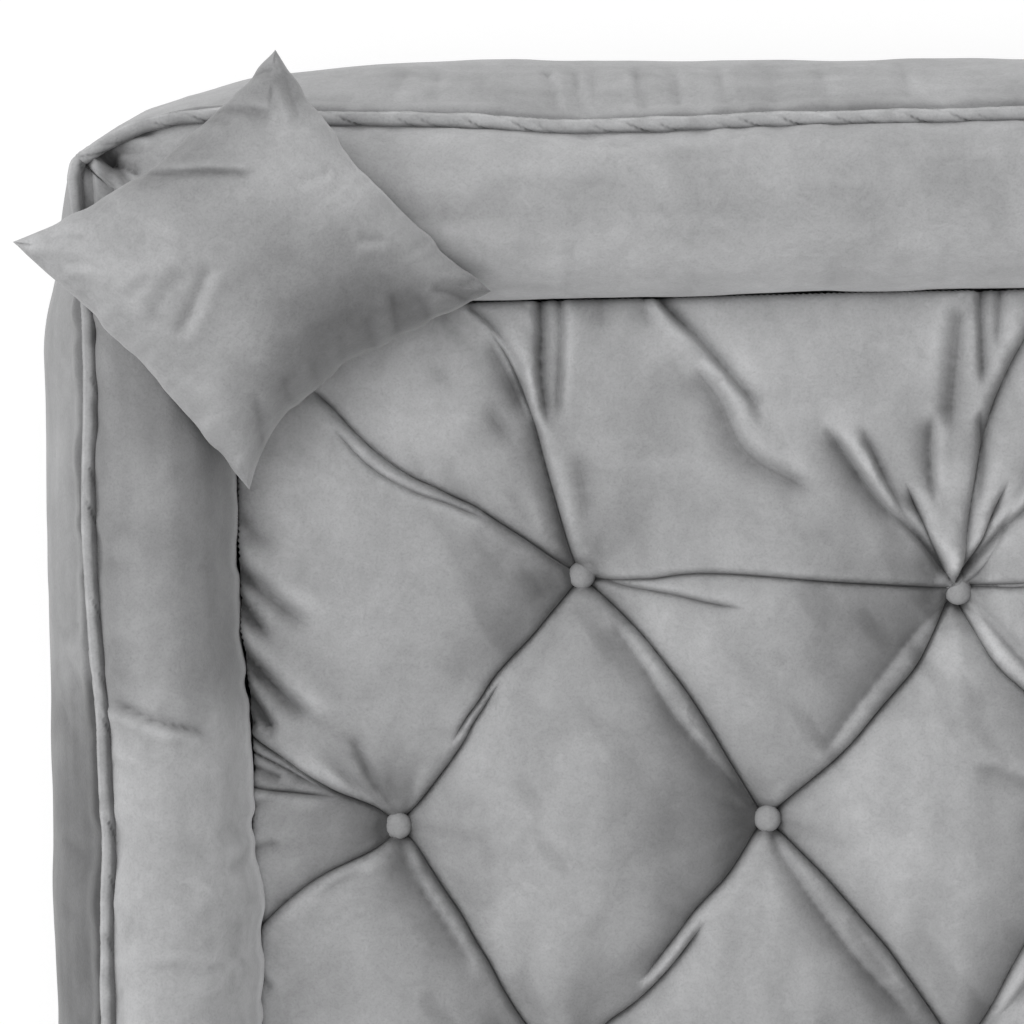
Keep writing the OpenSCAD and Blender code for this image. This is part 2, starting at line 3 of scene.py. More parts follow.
import bpy
import numpy as np
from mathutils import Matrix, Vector
from mathutils.geometry import delaunay_2d_cdt


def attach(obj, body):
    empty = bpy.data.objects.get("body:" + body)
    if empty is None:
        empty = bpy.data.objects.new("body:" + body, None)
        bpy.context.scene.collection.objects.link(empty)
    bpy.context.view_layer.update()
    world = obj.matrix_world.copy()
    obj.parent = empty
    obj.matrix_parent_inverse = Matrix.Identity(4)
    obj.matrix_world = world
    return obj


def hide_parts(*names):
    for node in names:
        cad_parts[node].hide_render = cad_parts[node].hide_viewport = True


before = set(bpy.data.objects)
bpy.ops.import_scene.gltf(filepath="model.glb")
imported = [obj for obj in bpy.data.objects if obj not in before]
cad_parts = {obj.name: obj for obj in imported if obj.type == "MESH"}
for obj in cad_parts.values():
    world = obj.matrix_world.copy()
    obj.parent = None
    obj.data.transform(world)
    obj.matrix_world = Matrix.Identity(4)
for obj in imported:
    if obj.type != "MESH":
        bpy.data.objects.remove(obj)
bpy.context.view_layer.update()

scene = bpy.context.scene
MM = 0.001
MIRROR_X = np.array([-1.0, 1.0, 1.0])

# Camera, straight above the rear left corner. Lengths are in millimetres until a mesh is made.
CAM_X, CAM_Y, CAM_Z = -307.94, 140.76, 3000.0
CAM_ROLL = 0.0179131
FOCAL_PX = 4091.16
HALF_PX = 512.0
SENSOR = 36.0
FAR_CLIP = 50.0

camera_data = bpy.data.cameras.new("camera")
camera_data.sensor_width = SENSOR
camera_data.lens = SENSOR * FOCAL_PX / (2 * HALF_PX)
camera_data.clip_end = FAR_CLIP
camera = bpy.data.objects.new("camera", camera_data)
camera.location = (CAM_X * MM, CAM_Y * MM, CAM_Z * MM)
camera.rotation_euler = (0.0, 0.0, -CAM_ROLL)
scene.collection.objects.link(camera)
scene.camera = camera


def plan_of(pixels, z):
    """Places in plan of points of the picture that lie at height z."""
    u, v = (np.moveaxis(np.asarray(pixels, float), -1, 0) - HALF_PX) * (CAM_Z - z) / FOCAL_PX
    c, s = math.cos(CAM_ROLL), math.sin(CAM_ROLL)
    return np.stack([CAM_X + u * c - v * s, CAM_Y - u * s - v * c], -1)


def traced(pixels, z):
    """A path in plan at height z from its pixels in the picture, with its corners cut three times."""
    p = plan_of([[float(n) for n in pair.split(",")] for pair in pixels.split()], z)
    for _ in range(3):
        cut = np.empty((2 * (len(p) - 1), 2))
        cut[0::2] = 0.75 * p[:-1] + 0.25 * p[1:]
        cut[1::2] = 0.25 * p[:-1] + 0.75 * p[1:]
        p = np.vstack([p[:1], cut, p[-1:]])
    return p


# Numbers
HASH_X, HASH_Y, HASH_Z, HASH_SEED, HASH_MIX = 374761393, 668265263, 1440662683, 1013904223, 1274126177
WORD = 0xFFFFFFFF


def hashed(cell, seed):
    """A fixed random value from -1 to 1 for each cell."""
    h = cell[..., 0] * HASH_X + cell[..., 1] * HASH_Y + cell[..., 2] * HASH_Z + seed * HASH_SEED & WORD
    h = (h ^ (h >> 13)) * HASH_MIX & WORD
    return (h ^ (h >> 16)) / (WORD / 2) - 1.0


def noise(points, scale, seed):
    """Smooth noise from -1 to 1 with features about scale across."""
    q = np.asarray(points, float) / scale
    cell = np.floor(q).astype(np.int64)
    f = q - cell
    w = f * f * f * (f * (f * 6 - 15) + 10)
    total = 0.0
    for corner in np.ndindex(2, 2, 2):
        near = np.where(corner, w, 1 - w)
        total = total + near[..., 0] * near[..., 1] * near[..., 2] * hashed(cell + corner, seed)
    return total


def flat_points(a, b, c=0.0):
    return np.stack(np.broadcast_arrays(*(np.asarray(v, float) for v in (a, b, c))), -1)


def noise_at(a, b, scale, seed, c=0.0):
    return noise(flat_points(a, b, c), scale, seed)


def smoothstep(x, low, high):
    t = np.clip((x - low) / (high - low), 0, 1)
    return t * t * (3 - 2 * t)


def hump(x, middle, reach):
    """A bell of height 1 about the middle."""
    return np.exp(-((x - middle) / reach) ** 2)


def fading(x, reach):
    return np.exp(-x / reach)


def unit(v):
    return v / np.maximum(np.linalg.norm(v, axis=-1, keepdims=True), 1e-12)


def spline(control, count):
    """Catmull-Rom curve through control points along axis 0, at even steps."""
    p = np.concatenate([2 * control[:1] - control[1:2], control, 2 * control[-1:] - control[-2:-1]])
    t = np.linspace(0, len(control) - 1, count)
    i = np.minimum(t.astype(int), len(control) - 2)
    f = (t - i).reshape(-1, *[1] * (control.ndim - 1))
    weights = (
        -f + 2 * f * f - f ** 3, 2 - 5 * f * f + 3 * f ** 3,
        f + 4 * f * f - 3 * f ** 3, -f * f + f ** 3,
    )
    return sum(weight * p[i + k] for k, weight in enumerate(weights)) / 2


def run_along(path):
    """Distance along a path at each of its points."""
    return np.concatenate([[0], np.cumsum(np.linalg.norm(np.diff(path, axis=0), axis=1))])


def path_at(path, share):
    """Places at shares of a path's length."""
    run = run_along(path)
    return np.stack([np.interp(share * run[-1], run, column) for column in path.T], -1)


def resampled(path, step):
    """Points at even steps along a path, and their distances along it."""
    run = run_along(path)
    at = np.linspace(0, run[-1], max(2, int(round(run[-1] / step)) + 1))
    return np.stack([np.interp(at, run, column) for column in path.T], -1), at


def brushed_and_painted_patches(places, z):
    """Patches of painted light and shade, and of brushed pile: (place in the picture, radius, how much
    lighter) put in plan.
    """
    return [(plan_of(place, z), reach, shine) for place, reach, shine in places]


def brushed_and_painted_tone(x, y, patches):
    """How much lighter or darker the patches of painted light and shade, and of brushed pile, make places
    in plan.
    """
    return sum(shine * hump(np.hypot(x - p[0], y - p[1]), 0, reach) for p, reach, shine in patches)


# Meshes
def grid_quads(rows, cols, offset=0, closed=True):
    i = np.arange(rows - 1)[:, None]
    j = np.arange(cols if closed else cols - 1)[None, :]
    a, b = i * cols + j, i * cols + (j + 1) % cols
    return np.stack([a, b, b + cols, a + cols], -1).reshape(-1, 4) + offset


def capped_loop(rows, cols):
    """Quads of a row of flat rings whose two halves face each other, and of both its ends."""
    j = np.arange(cols // 2 - 1)
    quads = [grid_quads(rows, cols)]
    for row, turn in ((0, -1), (rows - 1, 1)):
        a, b = row * cols + j, row * cols + cols - 1 - j
        quads.append(np.stack([a, a + 1, b - 1, b], -1)[:, ::turn])
    return np.vstack(quads)


def tube_faces(rows, cols, offset=0):
    """Quads of a tube of rings, and triangles from its end rings to two points that follow them."""
    ring = np.arange(cols)
    after = np.roll(ring, -1)
    centre = offset + rows * cols
    first = np.stack([np.full(cols, centre), offset + after, offset + ring], -1)
    last = np.stack([np.full(cols, centre + 1), centre - cols + ring, centre - cols + after], -1)
    return [grid_quads(rows, cols, offset), np.concatenate([first, last])]


def signed_volume(verts, groups):
    """Six times the volume inside a mesh, below zero where its faces look inwards."""
    total = 0.0
    for f in groups:
        for k in range(1, f.shape[1] - 1):
            a, b, c = verts[f[:, 0]], verts[f[:, k]], verts[f[:, k + 1]]
            total += np.einsum("ij,ij->", a, np.cross(b, c))
    return total


def soft_normals(points, groups, passes):
    """Normals at the points of a mesh, each pass averaging them with their neighbours'."""
    normals = np.zeros_like(points)
    links = []
    for f in groups:
        for here, after, before in zip(f.T, np.roll(f, -1, 1).T, np.roll(f, 1, 1).T):
            a, b, c = points[here], points[after], points[before]
            np.add.at(normals, here, np.cross(b - a, c - a))
            links.append(np.stack([here, after], -1))
    links = np.vstack(links)
    normals = unit(normals)
    for _ in range(passes):
        total = normals.copy()
        for here, there in (links.T, links.T[::-1]):
            for axis in range(3):
                total[:, axis] += np.bincount(here, normals[there, axis], len(points))
        normals = unit(total)
    return normals


def add_piece(name, verts, groups, material, body):
    """A mesh piece from points in millimetres and groups of faces of equal size."""
    groups = [np.atleast_2d(g) for g in groups]
    if signed_volume(verts - verts.mean(0), groups) < 0:
        groups = [g[:, ::-1] for g in groups]
    mesh = bpy.data.meshes.new(name)
    mesh.from_pydata((verts * MM).tolist(), [], [face for g in groups for face in g.tolist()])
    mesh.polygons.foreach_set("use_smooth", [True] * len(mesh.polygons))
    mesh.materials.append(material)
    mesh.update()
    obj = bpy.data.objects.new(name, mesh)
    scene.collection.objects.link(obj)
    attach(obj, body)
    # The frame has a material of each name already, so Blender adds a number to these
    return obj


def lay_pile_and_painted_light(obj, values):
    """How much lighter or darker each point of a mesh is, as a share: the pile's own tone with painted
    light and shade.
    """
    layer = obj.data.attributes.new("pile_and_painted_light", "FLOAT", "POINT")
    layer.data.foreach_set("value", np.clip(np.asarray(values, np.float32), -0.75, 0.6))


# Materials
MIX_FACTOR, MIX_A, MIX_B, MIX_RESULT = 0, 6, 7, 2


def node_of(tree, kind, inputs=(), **settings):
    """A shader node. An input that is a socket is linked, and any other is its value."""
    n = tree.nodes.new("ShaderNode" + kind)
    for key, value in settings.items():
        setattr(n, key, value)
    for key, value in dict(inputs).items():
        if isinstance(value, bpy.types.NodeSocket):
            tree.links.new(value, n.inputs[key])
        else:
            n.inputs[key].default_value = value
    return n


def ramp(tree, source, *stops):
    """Colours along a source. Each stop is (position, colour or grey level)."""
    n = node_of(tree, "ValToRGB", {"Fac": source})
    elements = n.color_ramp.elements
    elements.remove(elements[-1])
    for k, (position, colour) in enumerate(stops):
        element = elements.new(position) if k else elements[0]
        element.position = position
        element.color = (*np.broadcast_to(colour, 3), 1)
    return n.outputs["Color"]


def blank_material(name, roughness, metallic=0.0, specular=0.5, sheen=0.0, sheen_roughness=0.4):
    """A new material, its node tree, its shader and its object coordinates."""
    material = bpy.data.materials.new(name)
    material.use_nodes = True
    tree = material.node_tree
    shader = tree.nodes["Principled BSDF"]
    values = {
        "Roughness": roughness, "Metallic": metallic, "Specular IOR Level": specular,
        "Sheen Weight": sheen, "Sheen Roughness": sheen_roughness,
    }
    for key, value in values.items():
        shader.inputs[key].default_value = value
    return material, tree, shader, node_of(tree, "TexCoord").outputs["Object"]


def multiplied(tree, a, b):
    inputs = {MIX_FACTOR: 1.0, MIX_A: a, MIX_B: b}
    return node_of(tree, "Mix", inputs, data_type="RGBA", blend_type="MULTIPLY").outputs[MIX_RESULT]


def noise_texture(tree, coords, scale, detail=2.0, roughness=0.5, distortion=0.0):
    inputs = {
        "Vector": coords, "Scale": scale, "Detail": detail,
        "Roughness": roughness, "Distortion": distortion,
    }
    return node_of(tree, "TexNoise", inputs).outputs["Fac"]


def cell_texture(tree, coords, scale, randomness=1.0):
    inputs = {"Vector": coords, "Scale": scale, "Randomness": randomness}
    return node_of(tree, "TexVoronoi", inputs).outputs["Distance"]


def finished(tree, shader, colour, *bumps):
    """Links the colour and the bumps (height, strength, distance in metres), one over another."""
    tree.links.new(colour, shader.inputs["Base Color"])
    last = {}
    for height, strength, distance in bumps:
        n = node_of(tree, "Bump", {"Strength": strength, "Distance": distance, "Height": height, **last})
        last = {"Normal": n.outputs["Normal"]}
    tree.links.new(last["Normal"], shader.inputs["Normal"])


def scaled(colour, k):
    return tuple(min(1.0, c * k) for c in colour)


def velvet_material(name, colour, patch_scale, pile_scale=620.0, strand_scale=1500.0):
    """Short cut pile: the tone the point attribute gives each place, which holds painted light and shade
    besides the pile's own tone, brushed patches and a fine grain.
    """
    material, tree, shader, coords = blank_material(
        name, 0.88, specular=0.16, sheen=0.3, sheen_roughness=0.45)
    patches = noise_texture(tree, coords, patch_scale, 4.0, 0.6, 0.9)
    brushed = noise_texture(tree, coords, patch_scale * 5.3, 4.0, 0.68, 1.4)
    pile = noise_texture(tree, coords, pile_scale, 2.0, 0.6)
    strands = noise_texture(tree, coords, strand_scale, 1.0, 0.5)
    base = ramp(tree, patches, (0.28, scaled(colour, 0.89)), (0.5, colour), (0.74, scaled(colour, 1.1)))
    marks = ramp(tree, brushed, (0.3, 0.92), (0.5, 0.985), (0.72, 1.06))
    grain = ramp(tree, pile, (0.25, 0.87), (0.5, 0.985), (0.78, 1.03))
    # The point attribute scales the colour: painted shade in creases, pits and gaps, painted highlights on
    # ridges and slopes, and the pile's own tone
    pile_and_painted_light = node_of(tree, "Attribute", attribute_name="pile_and_painted_light").outputs["Fac"]
    lay = node_of(tree, "Math", {0: pile_and_painted_light, 1: 1.0}, operation="ADD").outputs[0]
    tone = multiplied(tree, multiplied(tree, base, marks), grain)
    shown = node_of(tree, "VectorMath", {0: tone, "Scale": lay}, operation="SCALE").outputs[0]
    finished(tree, shader, shown, (brushed, 0.25, 0.0012), (pile, 0.35, 0.0006), (strands, 0.2, 0.0003))
    return material


def woven_material(name, colour, thread):
    """Plain weave with threads `thread` metres apart."""
    material, tree, shader, coords = blank_material(name, 0.8, specular=0.2, sheen=0.1)
    inputs = {"Vector": coords, "Scale": math.pi / (10 * thread), "Distortion": 0.6, "Detail": 1.0}
    waves = [node_of(tree, "TexWave", inputs, bands_direction=way).outputs["Fac"] for way in ("X", "Y")]
    weave = node_of(tree, "Math", dict(enumerate(waves)), operation="MAXIMUM").outputs[0]
    stains = noise_texture(tree, coords, 30.0, 3.0)
    base = ramp(tree, stains, (0.3, scaled(colour, 0.94)), (0.7, scaled(colour, 1.05)))
    threads = ramp(tree, weave, (0.1, 0.8), (0.8, 1.0))
    finished(tree, shader, multiplied(tree, base, threads), (weave, 0.4, thread * 0.5))
    return material


def dotted_material(name, colour, dot_colour, pitch):
    """Non-slip cloth with rubber dots."""
    material, tree, shader, coords = blank_material(name, 0.7, specular=0.3)
    dots = ramp(tree, cell_texture(tree, coords, 1.0 / pitch, 0.0), (0.2, 1.0), (0.26, 0.0))
    weave = noise_texture(tree, coords, 700.0, 2.0)
    cloth = ramp(tree, weave, (0.3, scaled(colour, 0.8)), (0.7, scaled(colour, 1.15)))
    inputs = {MIX_FACTOR: dots, MIX_A: cloth, MIX_B: (*dot_colour, 1)}
    shown = node_of(tree, "Mix", inputs, data_type="RGBA").outputs[MIX_RESULT]
    finished(tree, shader, shown, (weave, 0.3, 0.0004), (dots, 0.6, 0.0012))
    return material


def foam_material(name, colour, pores=700.0):
    material, tree, shader, coords = blank_material(name, 0.9, specular=0.15)
    cells = cell_texture(tree, coords, pores)
    shown = ramp(tree, cells, (0.1, scaled(colour, 0.8)), (0.5, colour), (0.9, scaled(colour, 1.06)))
    finished(tree, shader, shown, (cells, 0.4, 0.0008))
    return material


def hard_material(name, colour, roughness, metallic, grain_scale):
    material, tree, shader, coords = blank_material(name, roughness, metallic)
    grain = noise_texture(tree, coords, grain_scale, 4.0, 0.6)
    worn = ramp(tree, grain, (0.3, roughness * 0.8), (0.7, min(1, roughness * 1.2)))
    tree.links.new(worn, shader.inputs["Roughness"])
    shown = ramp(tree, grain, (0.3, scaled(colour, 0.92)), (0.7, scaled(colour, 1.08)))
    finished(tree, shader, shown, (grain, 0.15, 0.0002))
    return material


VELVET = (0.389, 0.390, 0.395)
velvet = velvet_material("velvet", VELVET, 19.0)
pillow_velvet = velvet_material("pillow_velvet", VELVET, 24.0)
deck_cloth = woven_material("deck_cloth", (0.115, 0.115, 0.12), 0.0011)
nonslip_cloth = dotted_material("nonslip_cloth", (0.045, 0.045, 0.048), (0.02, 0.02, 0.022), 0.008)
foam = foam_material("foam", (0.72, 0.66, 0.5))
twine = woven_material("twine", (0.6, 0.55, 0.45), 0.0006)
anchor_plastic = hard_material("anchor_plastic", (0.6, 0.6, 0.58), 0.45, 0.0, 120.0)
zip_tape = woven_material("zip_tape", (0.2, 0.2, 0.205), 0.0008)
zip_coil = hard_material("zip_coil", (0.1, 0.1, 0.105), 0.35, 0.0, 300.0)
zip_metal = hard_material("zip_metal", (0.55, 0.55, 0.56), 0.3, 1.0, 250.0)

# The bed's own values
BED_W, BED_D, WALL_H = 1270.0, 910.0, 265.0
BULGE, FOOT = 46.0, 14.0
ARM_IN, BACK_IN = 100.0, 119.0
WELT_H, WELT_R = 236.0, 6.0
CORNER_R, DOME = 52.0, 10.0
CLOTH, GAP = 2.0, 0.3
BASE_Z, DECK_TOP, SEAT_Z = 2.3, 58.6, 58.9
WELT_X, WELT_Y = BED_W / 2 - BULGE, BED_D / 2 - BULGE
FACING_Y = -BED_D / 2 + DOME
WALL_END_Y = FACING_Y + WELT_R + GAP
TURN_LEN = CORNER_R * math.pi / 4
ARM_RUN = WELT_Y - CORNER_R - WALL_END_Y
BACK_RUN = 2 * (WELT_X - CORNER_R)
ZIP_MID = np.array([0.0, 433.7, 25.0])
ZIP_UP = np.array([0.0, 0.425347, 0.90503])
ZIP_OUT = np.array([0.0, 0.90503, -0.425347])
ZIP_LEN = 500.0
# The inner cover's section from the welt to the deck, in shares of the wall's thickness and height
INNER = [
    (0.18, 0.955), (0.37, 1), (0.57, 0.985), (0.76, 0.91), (0.91, 0.78),
    (1, 0.58), (0.985, 0.36), (0.93, 0.16), (0.88, 0),
]
# The welt as sewn: along the arm (y, how far it strays in x, swell of the outer cover), and along
# the back (x, how far it strays in y, swell)
ARM_LINE = np.array([
    (-442, 0.0, 0.6), (-400, 0.0, 0.84), (-330, 3.0, 1.02), (-240, 3.0, 1.06), (-130, 2.3, 1.07),
    (-103, 3.6, 1.12), (-89, 6.0, 1.19), (-49, 4.0, 1.19), (5, 2.1, 1.08), (32, 0.0, 1.02),
    (59, -2.3, 0.98), (86, -3.6, 0.965), (113, -3.9, 0.96), (140, -5.8, 0.93), (168, -5.8, 0.91),
    (195, -3.4, 0.95), (222, -2.2, 0.96), (276, -2.6, 0.96), (306, -5.5, 0.72), (357, -8.7, 0.42),
])
BACK_LINE = np.array([
    (-537, 2.0, 0.42), (-505, 4.2, 0.66), (-480, 3.6, 0.80), (-433, -0.6, 1.02), (-379, -1.7, 1.13),
    (-340, -4.2, 1.23), (-298, -5.5, 1.28), (-271, -9.0, 1.36), (-225, -8.8, 1.30), (-176, -8.1, 1.23),
    (-149, -6.1, 1.155), (-109, -5.5, 1.135), (-41, -5.8, 1.09), (0, -4.8, 1.01), (60, -4.7, 1.03),
    (176, -5.5, 1.08), (298, -6.5, 1.2), (379, -2.5, 1.1), (433, 0.0, 1.0), (480, 3.6, 0.8),
    (505, 4.2, 0.66), (537, 2.0, 0.42),
])
# The rear corner of the welt, from the mitre to where the straight runs start
CORNER_ARM = np.array([
    (-595.5, 384.0), (-597.6, 380.0), (-599.4, 371.0), (-598.6, 360.0), (-597.7, 350.7),
])
CORNER_BACK = np.array([
    (-595.5, 384.0), (-583.4, 391.5), (-569.8, 398.9), (-552.1, 406.5), (-527.7, 411.2),
])
CORNER_SWELL = 0.24
# Where the inner covers meet the cushion: (place along the wall, how far the rim strays)
ARM_RIM = np.array([
    (-455, 0.0), (-300, 0.9), (-192, 1.0), (-150, 3.0), (-122, 3.0), (-106, -0.5), (-89, -2.6), (-50, -1.4),
    (-28, -0.6), (8, -2.8), (35, -5.0), (62, -8.8), (118, -9.0), (170, -8.7), (300, -8.0),
])
BACK_RIM = np.array([(-480, -1.0), (-245, -1.0), (-59, 0.8), (44, 0.8), (245, -0.6), (480, -1.0)])

# The walls
RUNGS_LEG, RUNGS_FLOOR, RUNGS_SIDE = 14, 8, 84
ARC_N = 20
ARM_STEP, BACK_STEP = 3.6, 3.8
BULGE_POWER = 0.72
WELT_SHOWN, WELT_SUNK = 4.2, 1.5
LEG_IN = FOOT - 1.7
MITRE_GAP = 0.1
CORNER_EASE, STRAY_FADE = 80, 75
NEAR_ARC, STRAIGHT, FAR_ARC = range(3)
SOFTENED = (-18, -9, 0, 9, 18)


def line_value(table, at, column):
    """A column of a table of a line, rounded off over some 30 mm where it bends."""
    return sum(np.interp(at + shift, table[:, 0], table[:, column]) for shift in SOFTENED) / len(SOFTENED)


class Walk:
    """Stations along a wall: from the mitre round the rear corner, then along the straight run.
    The back goes on round its far corner."""

    def __init__(self, kind, step):
        self.back = kind == "back"
        self.across, self.along = (1, 0) if self.back else (0, 1)
        self.line, self.rim, self.corner = (
            (BACK_LINE, BACK_RIM, CORNER_BACK) if self.back else (ARM_LINE, ARM_RIM, CORNER_ARM))
        length = BACK_RUN if self.back else ARM_RUN
        turn = np.linspace(0, 1, ARC_N, endpoint=False)
        run = np.linspace(0, 1, int(length / step) + 1)
        far = turn[::-1] if self.back else turn[:0]
        self.turn = np.concatenate([turn, np.ones(len(run)), far])
        self.share = np.concatenate([0 * turn, run, 0 * far])
        self.part = np.repeat([NEAR_ARC, STRAIGHT, FAR_ARC], [len(turn), len(run), len(far)])
        total = 2 * TURN_LEN + length
        self.distance = np.concatenate([TURN_LEN * turn, TURN_LEN + length * run, total - TURN_LEN * far])
        self.from_mitre = np.minimum(self.distance, total - self.distance) if self.back else self.distance

    def place(self, in_arm, in_back, z):
        """Points of a section at each station, by how far they lie in from each wall's welt."""
        r = np.maximum(CORNER_R - (in_arm + in_back) / 2, CORNER_R * 0.1)
        mid_x, mid_y = -WELT_X + in_arm + r, WELT_Y - in_back - r
        angle = np.radians(135 + (-45 if self.back else 45) * self.turn)[:, None]
        share, on_run = self.share[:, None], self.part[:, None] == STRAIGHT
        x, y = mid_x + r * np.cos(angle), mid_y + r * np.sin(angle)
        if self.back:
            x = np.where(self.part[:, None] == FAR_ARC, -x, x)
            x = np.where(on_run, mid_x * (1 - 2 * share), x)
            y = np.where(on_run, mid_y + r, y)
        else:
            x = np.where(on_run, mid_x - r, x)
            y = np.where(on_run, mid_y + (WALL_END_Y - mid_y) * share, y - MITRE_GAP)
        return np.stack([x, y, z], -1)

    def plain_welt(self):
        zero = np.zeros((len(self.turn), 1))
        return self.place(zero, zero, zero)[:, 0, :2]

    def swell(self):
        """How far the outer cover bulges at each station."""
        swell = line_value(self.line, self.plain_welt()[:, self.along], 2)
        if not self.back:
            swell[-1] = self.line[0, 2]
        end = line_value(self.line, self.line[-1, 0], 2)
        corner = CORNER_SWELL + (end - CORNER_SWELL) * self.turn ** 1.8
        return np.where(self.part == STRAIGHT, swell, corner)

    def drawn(self, p, in_arm):
        """Moves points from the plain outline to the line of the welt as sewn."""
        welt = self.plain_welt()
        first, along = welt[ARC_N], welt[:, self.along]
        start = self.corner[-1] - first
        move = np.empty_like(welt)
        if self.back:
            near = 1 - smoothstep(abs(first[0]) - np.abs(along), 0, CORNER_EASE)
            move[:, 0] = -np.copysign(start[0], along) * near
        else:
            near = 1 - smoothstep(first[1] - along, 0, CORNER_EASE)
            move[:, 1] = start[1] * near
        more = start[self.across] - line_value(self.line, first[self.along], 1)
        move[:, self.across] = line_value(self.line, along, 1) + more * near
        target = path_at(self.corner, self.turn)
        target[self.part == FAR_ARC, 0] *= -1
        move = np.where(self.part[:, None] == STRAIGHT, move, target - welt)
        fade = 1 - 0.8 * smoothstep(in_arm, 0, STRAY_FADE)
        return np.concatenate([p[..., :2] + move[:, None] * fade[..., None], p[..., 2:]], -1)


def outer_profile(swell):
    """Outer cover from the floor to the welt: how far in from either wall's welt, and height."""
    leg_t = (SEAT_Z - BASE_Z) / (WELT_H - BASE_Z)
    floor_t = leg_t + 0.13
    t = np.concatenate([
        np.linspace(0, leg_t, RUNGS_LEG, endpoint=False),
        np.linspace(leg_t, floor_t, RUNGS_FLOOR, endpoint=False),
        1 - (1 - floor_t) * (1 - np.linspace(0, 1, RUNGS_SIDE + 1)) ** 1.15,
    ])[None, :]
    arch = np.sin(np.pi * np.clip(t, 0, 1)) ** BULGE_POWER
    out = FOOT * (1 - t) + (BULGE - FOOT / 2) * arch * swell[:, None]
    out = out + WELT_SHOWN * smoothstep(t, 0.93, 1.0)
    z = BASE_Z + t * (WELT_H - WELT_SUNK - BASE_Z)
    return -out, -out, np.broadcast_to(z, out.shape)


def inner_profile(swell):
    """The other side, from the floor up: the leg over the base, the deck, then the inner cover."""
    one = np.ones_like(swell)
    dip = 1 - 0.1 * (1 - swell)
    control = [np.stack([WELT_SHOWN * one, WELT_SHOWN * one, (WELT_H - WELT_SUNK) * one], -1)]
    for in_share, up_share in INNER:
        z = SEAT_Z + up_share * (WALL_H - SEAT_Z) * dip
        control.append(np.stack([in_share * ARM_IN * one, in_share * BACK_IN * one, z], -1))
    cover = spline(np.array(control), RUNGS_SIDE + 1).transpose(1, 0, 2)[:, ::-1]
    leg = np.full((len(swell), RUNGS_LEG, 3), -LEG_IN)
    leg[..., 2] = np.linspace(BASE_Z, SEAT_Z, RUNGS_LEG, endpoint=False)
    along = np.linspace(0, 1, RUNGS_FLOOR, endpoint=False)[None, :, None]
    start = np.array([-LEG_IN, -LEG_IN, SEAT_Z])
    floor = start + along * (cover[:, :1] - start)
    return np.moveaxis(np.concatenate([leg, floor, cover], 1), -1, 0)


def section_run(p):
    """Arc length round the section from the welt, for each point of a strip that ends at it."""
    run = np.cumsum(np.linalg.norm(np.diff(p, axis=1, prepend=p[:, :1]), axis=-1), axis=1)
    return run[:, -1:] - run


# Soft creases on the walls: a path in the picture, depth, half width, side of the fold beside it
WALL_CREASES = [
    ("546,62 552,82 553,116", 2.6, 2.4, 1), ("573,61 577,80 580,116", 2.4, 2.6, 1),
    ("595,60 592,84 590,112", 1.2, 3.0, 0), ("636,61 639,84 642,116", 2.2, 2.6, -1),
    ("672,61 676,80 678,112", 2.0, 2.6, 1), ("718,60 721,84 724,112", 1.8, 3.0, 1),
    ("438,64 436,85 433,104", 1.4, 4.0, 1), ("480,63 484,85 482,104", 1.2, 4.0, 0),
    ("404,67 398,85 390,104", 1.4, 4.0, 1), ("770,61 772,84 771,108", 1.2, 5.0, 0),
    ("823,60 820,80 824,106", 1.4, 3.4, 1), ("905,60 903,82 906,106", 1.4, 4.0, 1),
    ("110,701 118,705 135,711 152,719 172,723 191,727 211,735", 5.6, 3.0, -1),
    ("155,966 178,962 205,968 230,965", 1.8, 3.0, 1), ("258,852 246,860 229,874", 2.0, 4.0, -1),
    ("112,760 124,768 140,771", 1.5, 4.0, 1), ("110,640 126,650 150,652", 1.0, 5.0, 0),
    ("150,830 175,842 196,846 214,853", 1.2, 5.0, 1), ("118,905 131,921 152,929", 1.2, 5.0, 0),
    ("107,558 122,570 146,574", 1.0, 5.0, 1), ("60,655 72,668 86,690", 1.6, 5.0, 1),
    ("57,700 70,730 82,742", 1.2, 5.0, 0), ("60,640 74,632 84,622", 1.2, 5.0, -1),
    ("60,840 70,846 88,858", 1.3, 5.0, 1), ("62,905 75,914 92,917", 1.0, 5.0, 0),
    ("565,300 568,280 571,262 570,240", 1.6, 3.5, 1), ("690,298 694,276 692,258", 1.0, 4.0, 0),
    ("840,300 836,280 839,255", 1.2, 4.0, 1), ("948,296 951,270 948,240", 1.2, 4.0, 0),
]
# The pinched corner: short deep folds that fan out from the mitre
CORNER_FOLDS = [
    ("101,150 110,155 120,162 136,172", 13.0, 3.6, 0), ("103,152 111,162 119,172 128,184", 9.0, 3.0, 1),
    ("101,149 116,142 130,134 150,128", 6.0, 3.0, 1), ("102,150 106,164 110,180 116,196", 5.0, 3.0, -1),
    ("101,150 118,149 140,150", 4.5, 3.0, 1), ("87,162 90,176 91,196 88,214", 4.0, 2.6, 1),
    ("140,126 165,119 200,114", 3.0, 2.6, 1), ("112,150 119,156 126,160", 5.0, 3.6, 0),
]
OUTER_Z, INNER_Z, PINCH_Z = 195.0, 245.0, 238.0
OUTER_CREASED, INNER_CREASED = 110.0, 190.0
# Place in the picture and radius of the pillow's painted shadow on the arm
PILLOW_SHADOW_PX, PILLOW_SHADOW_R = (158.0, 405.0), 36.0


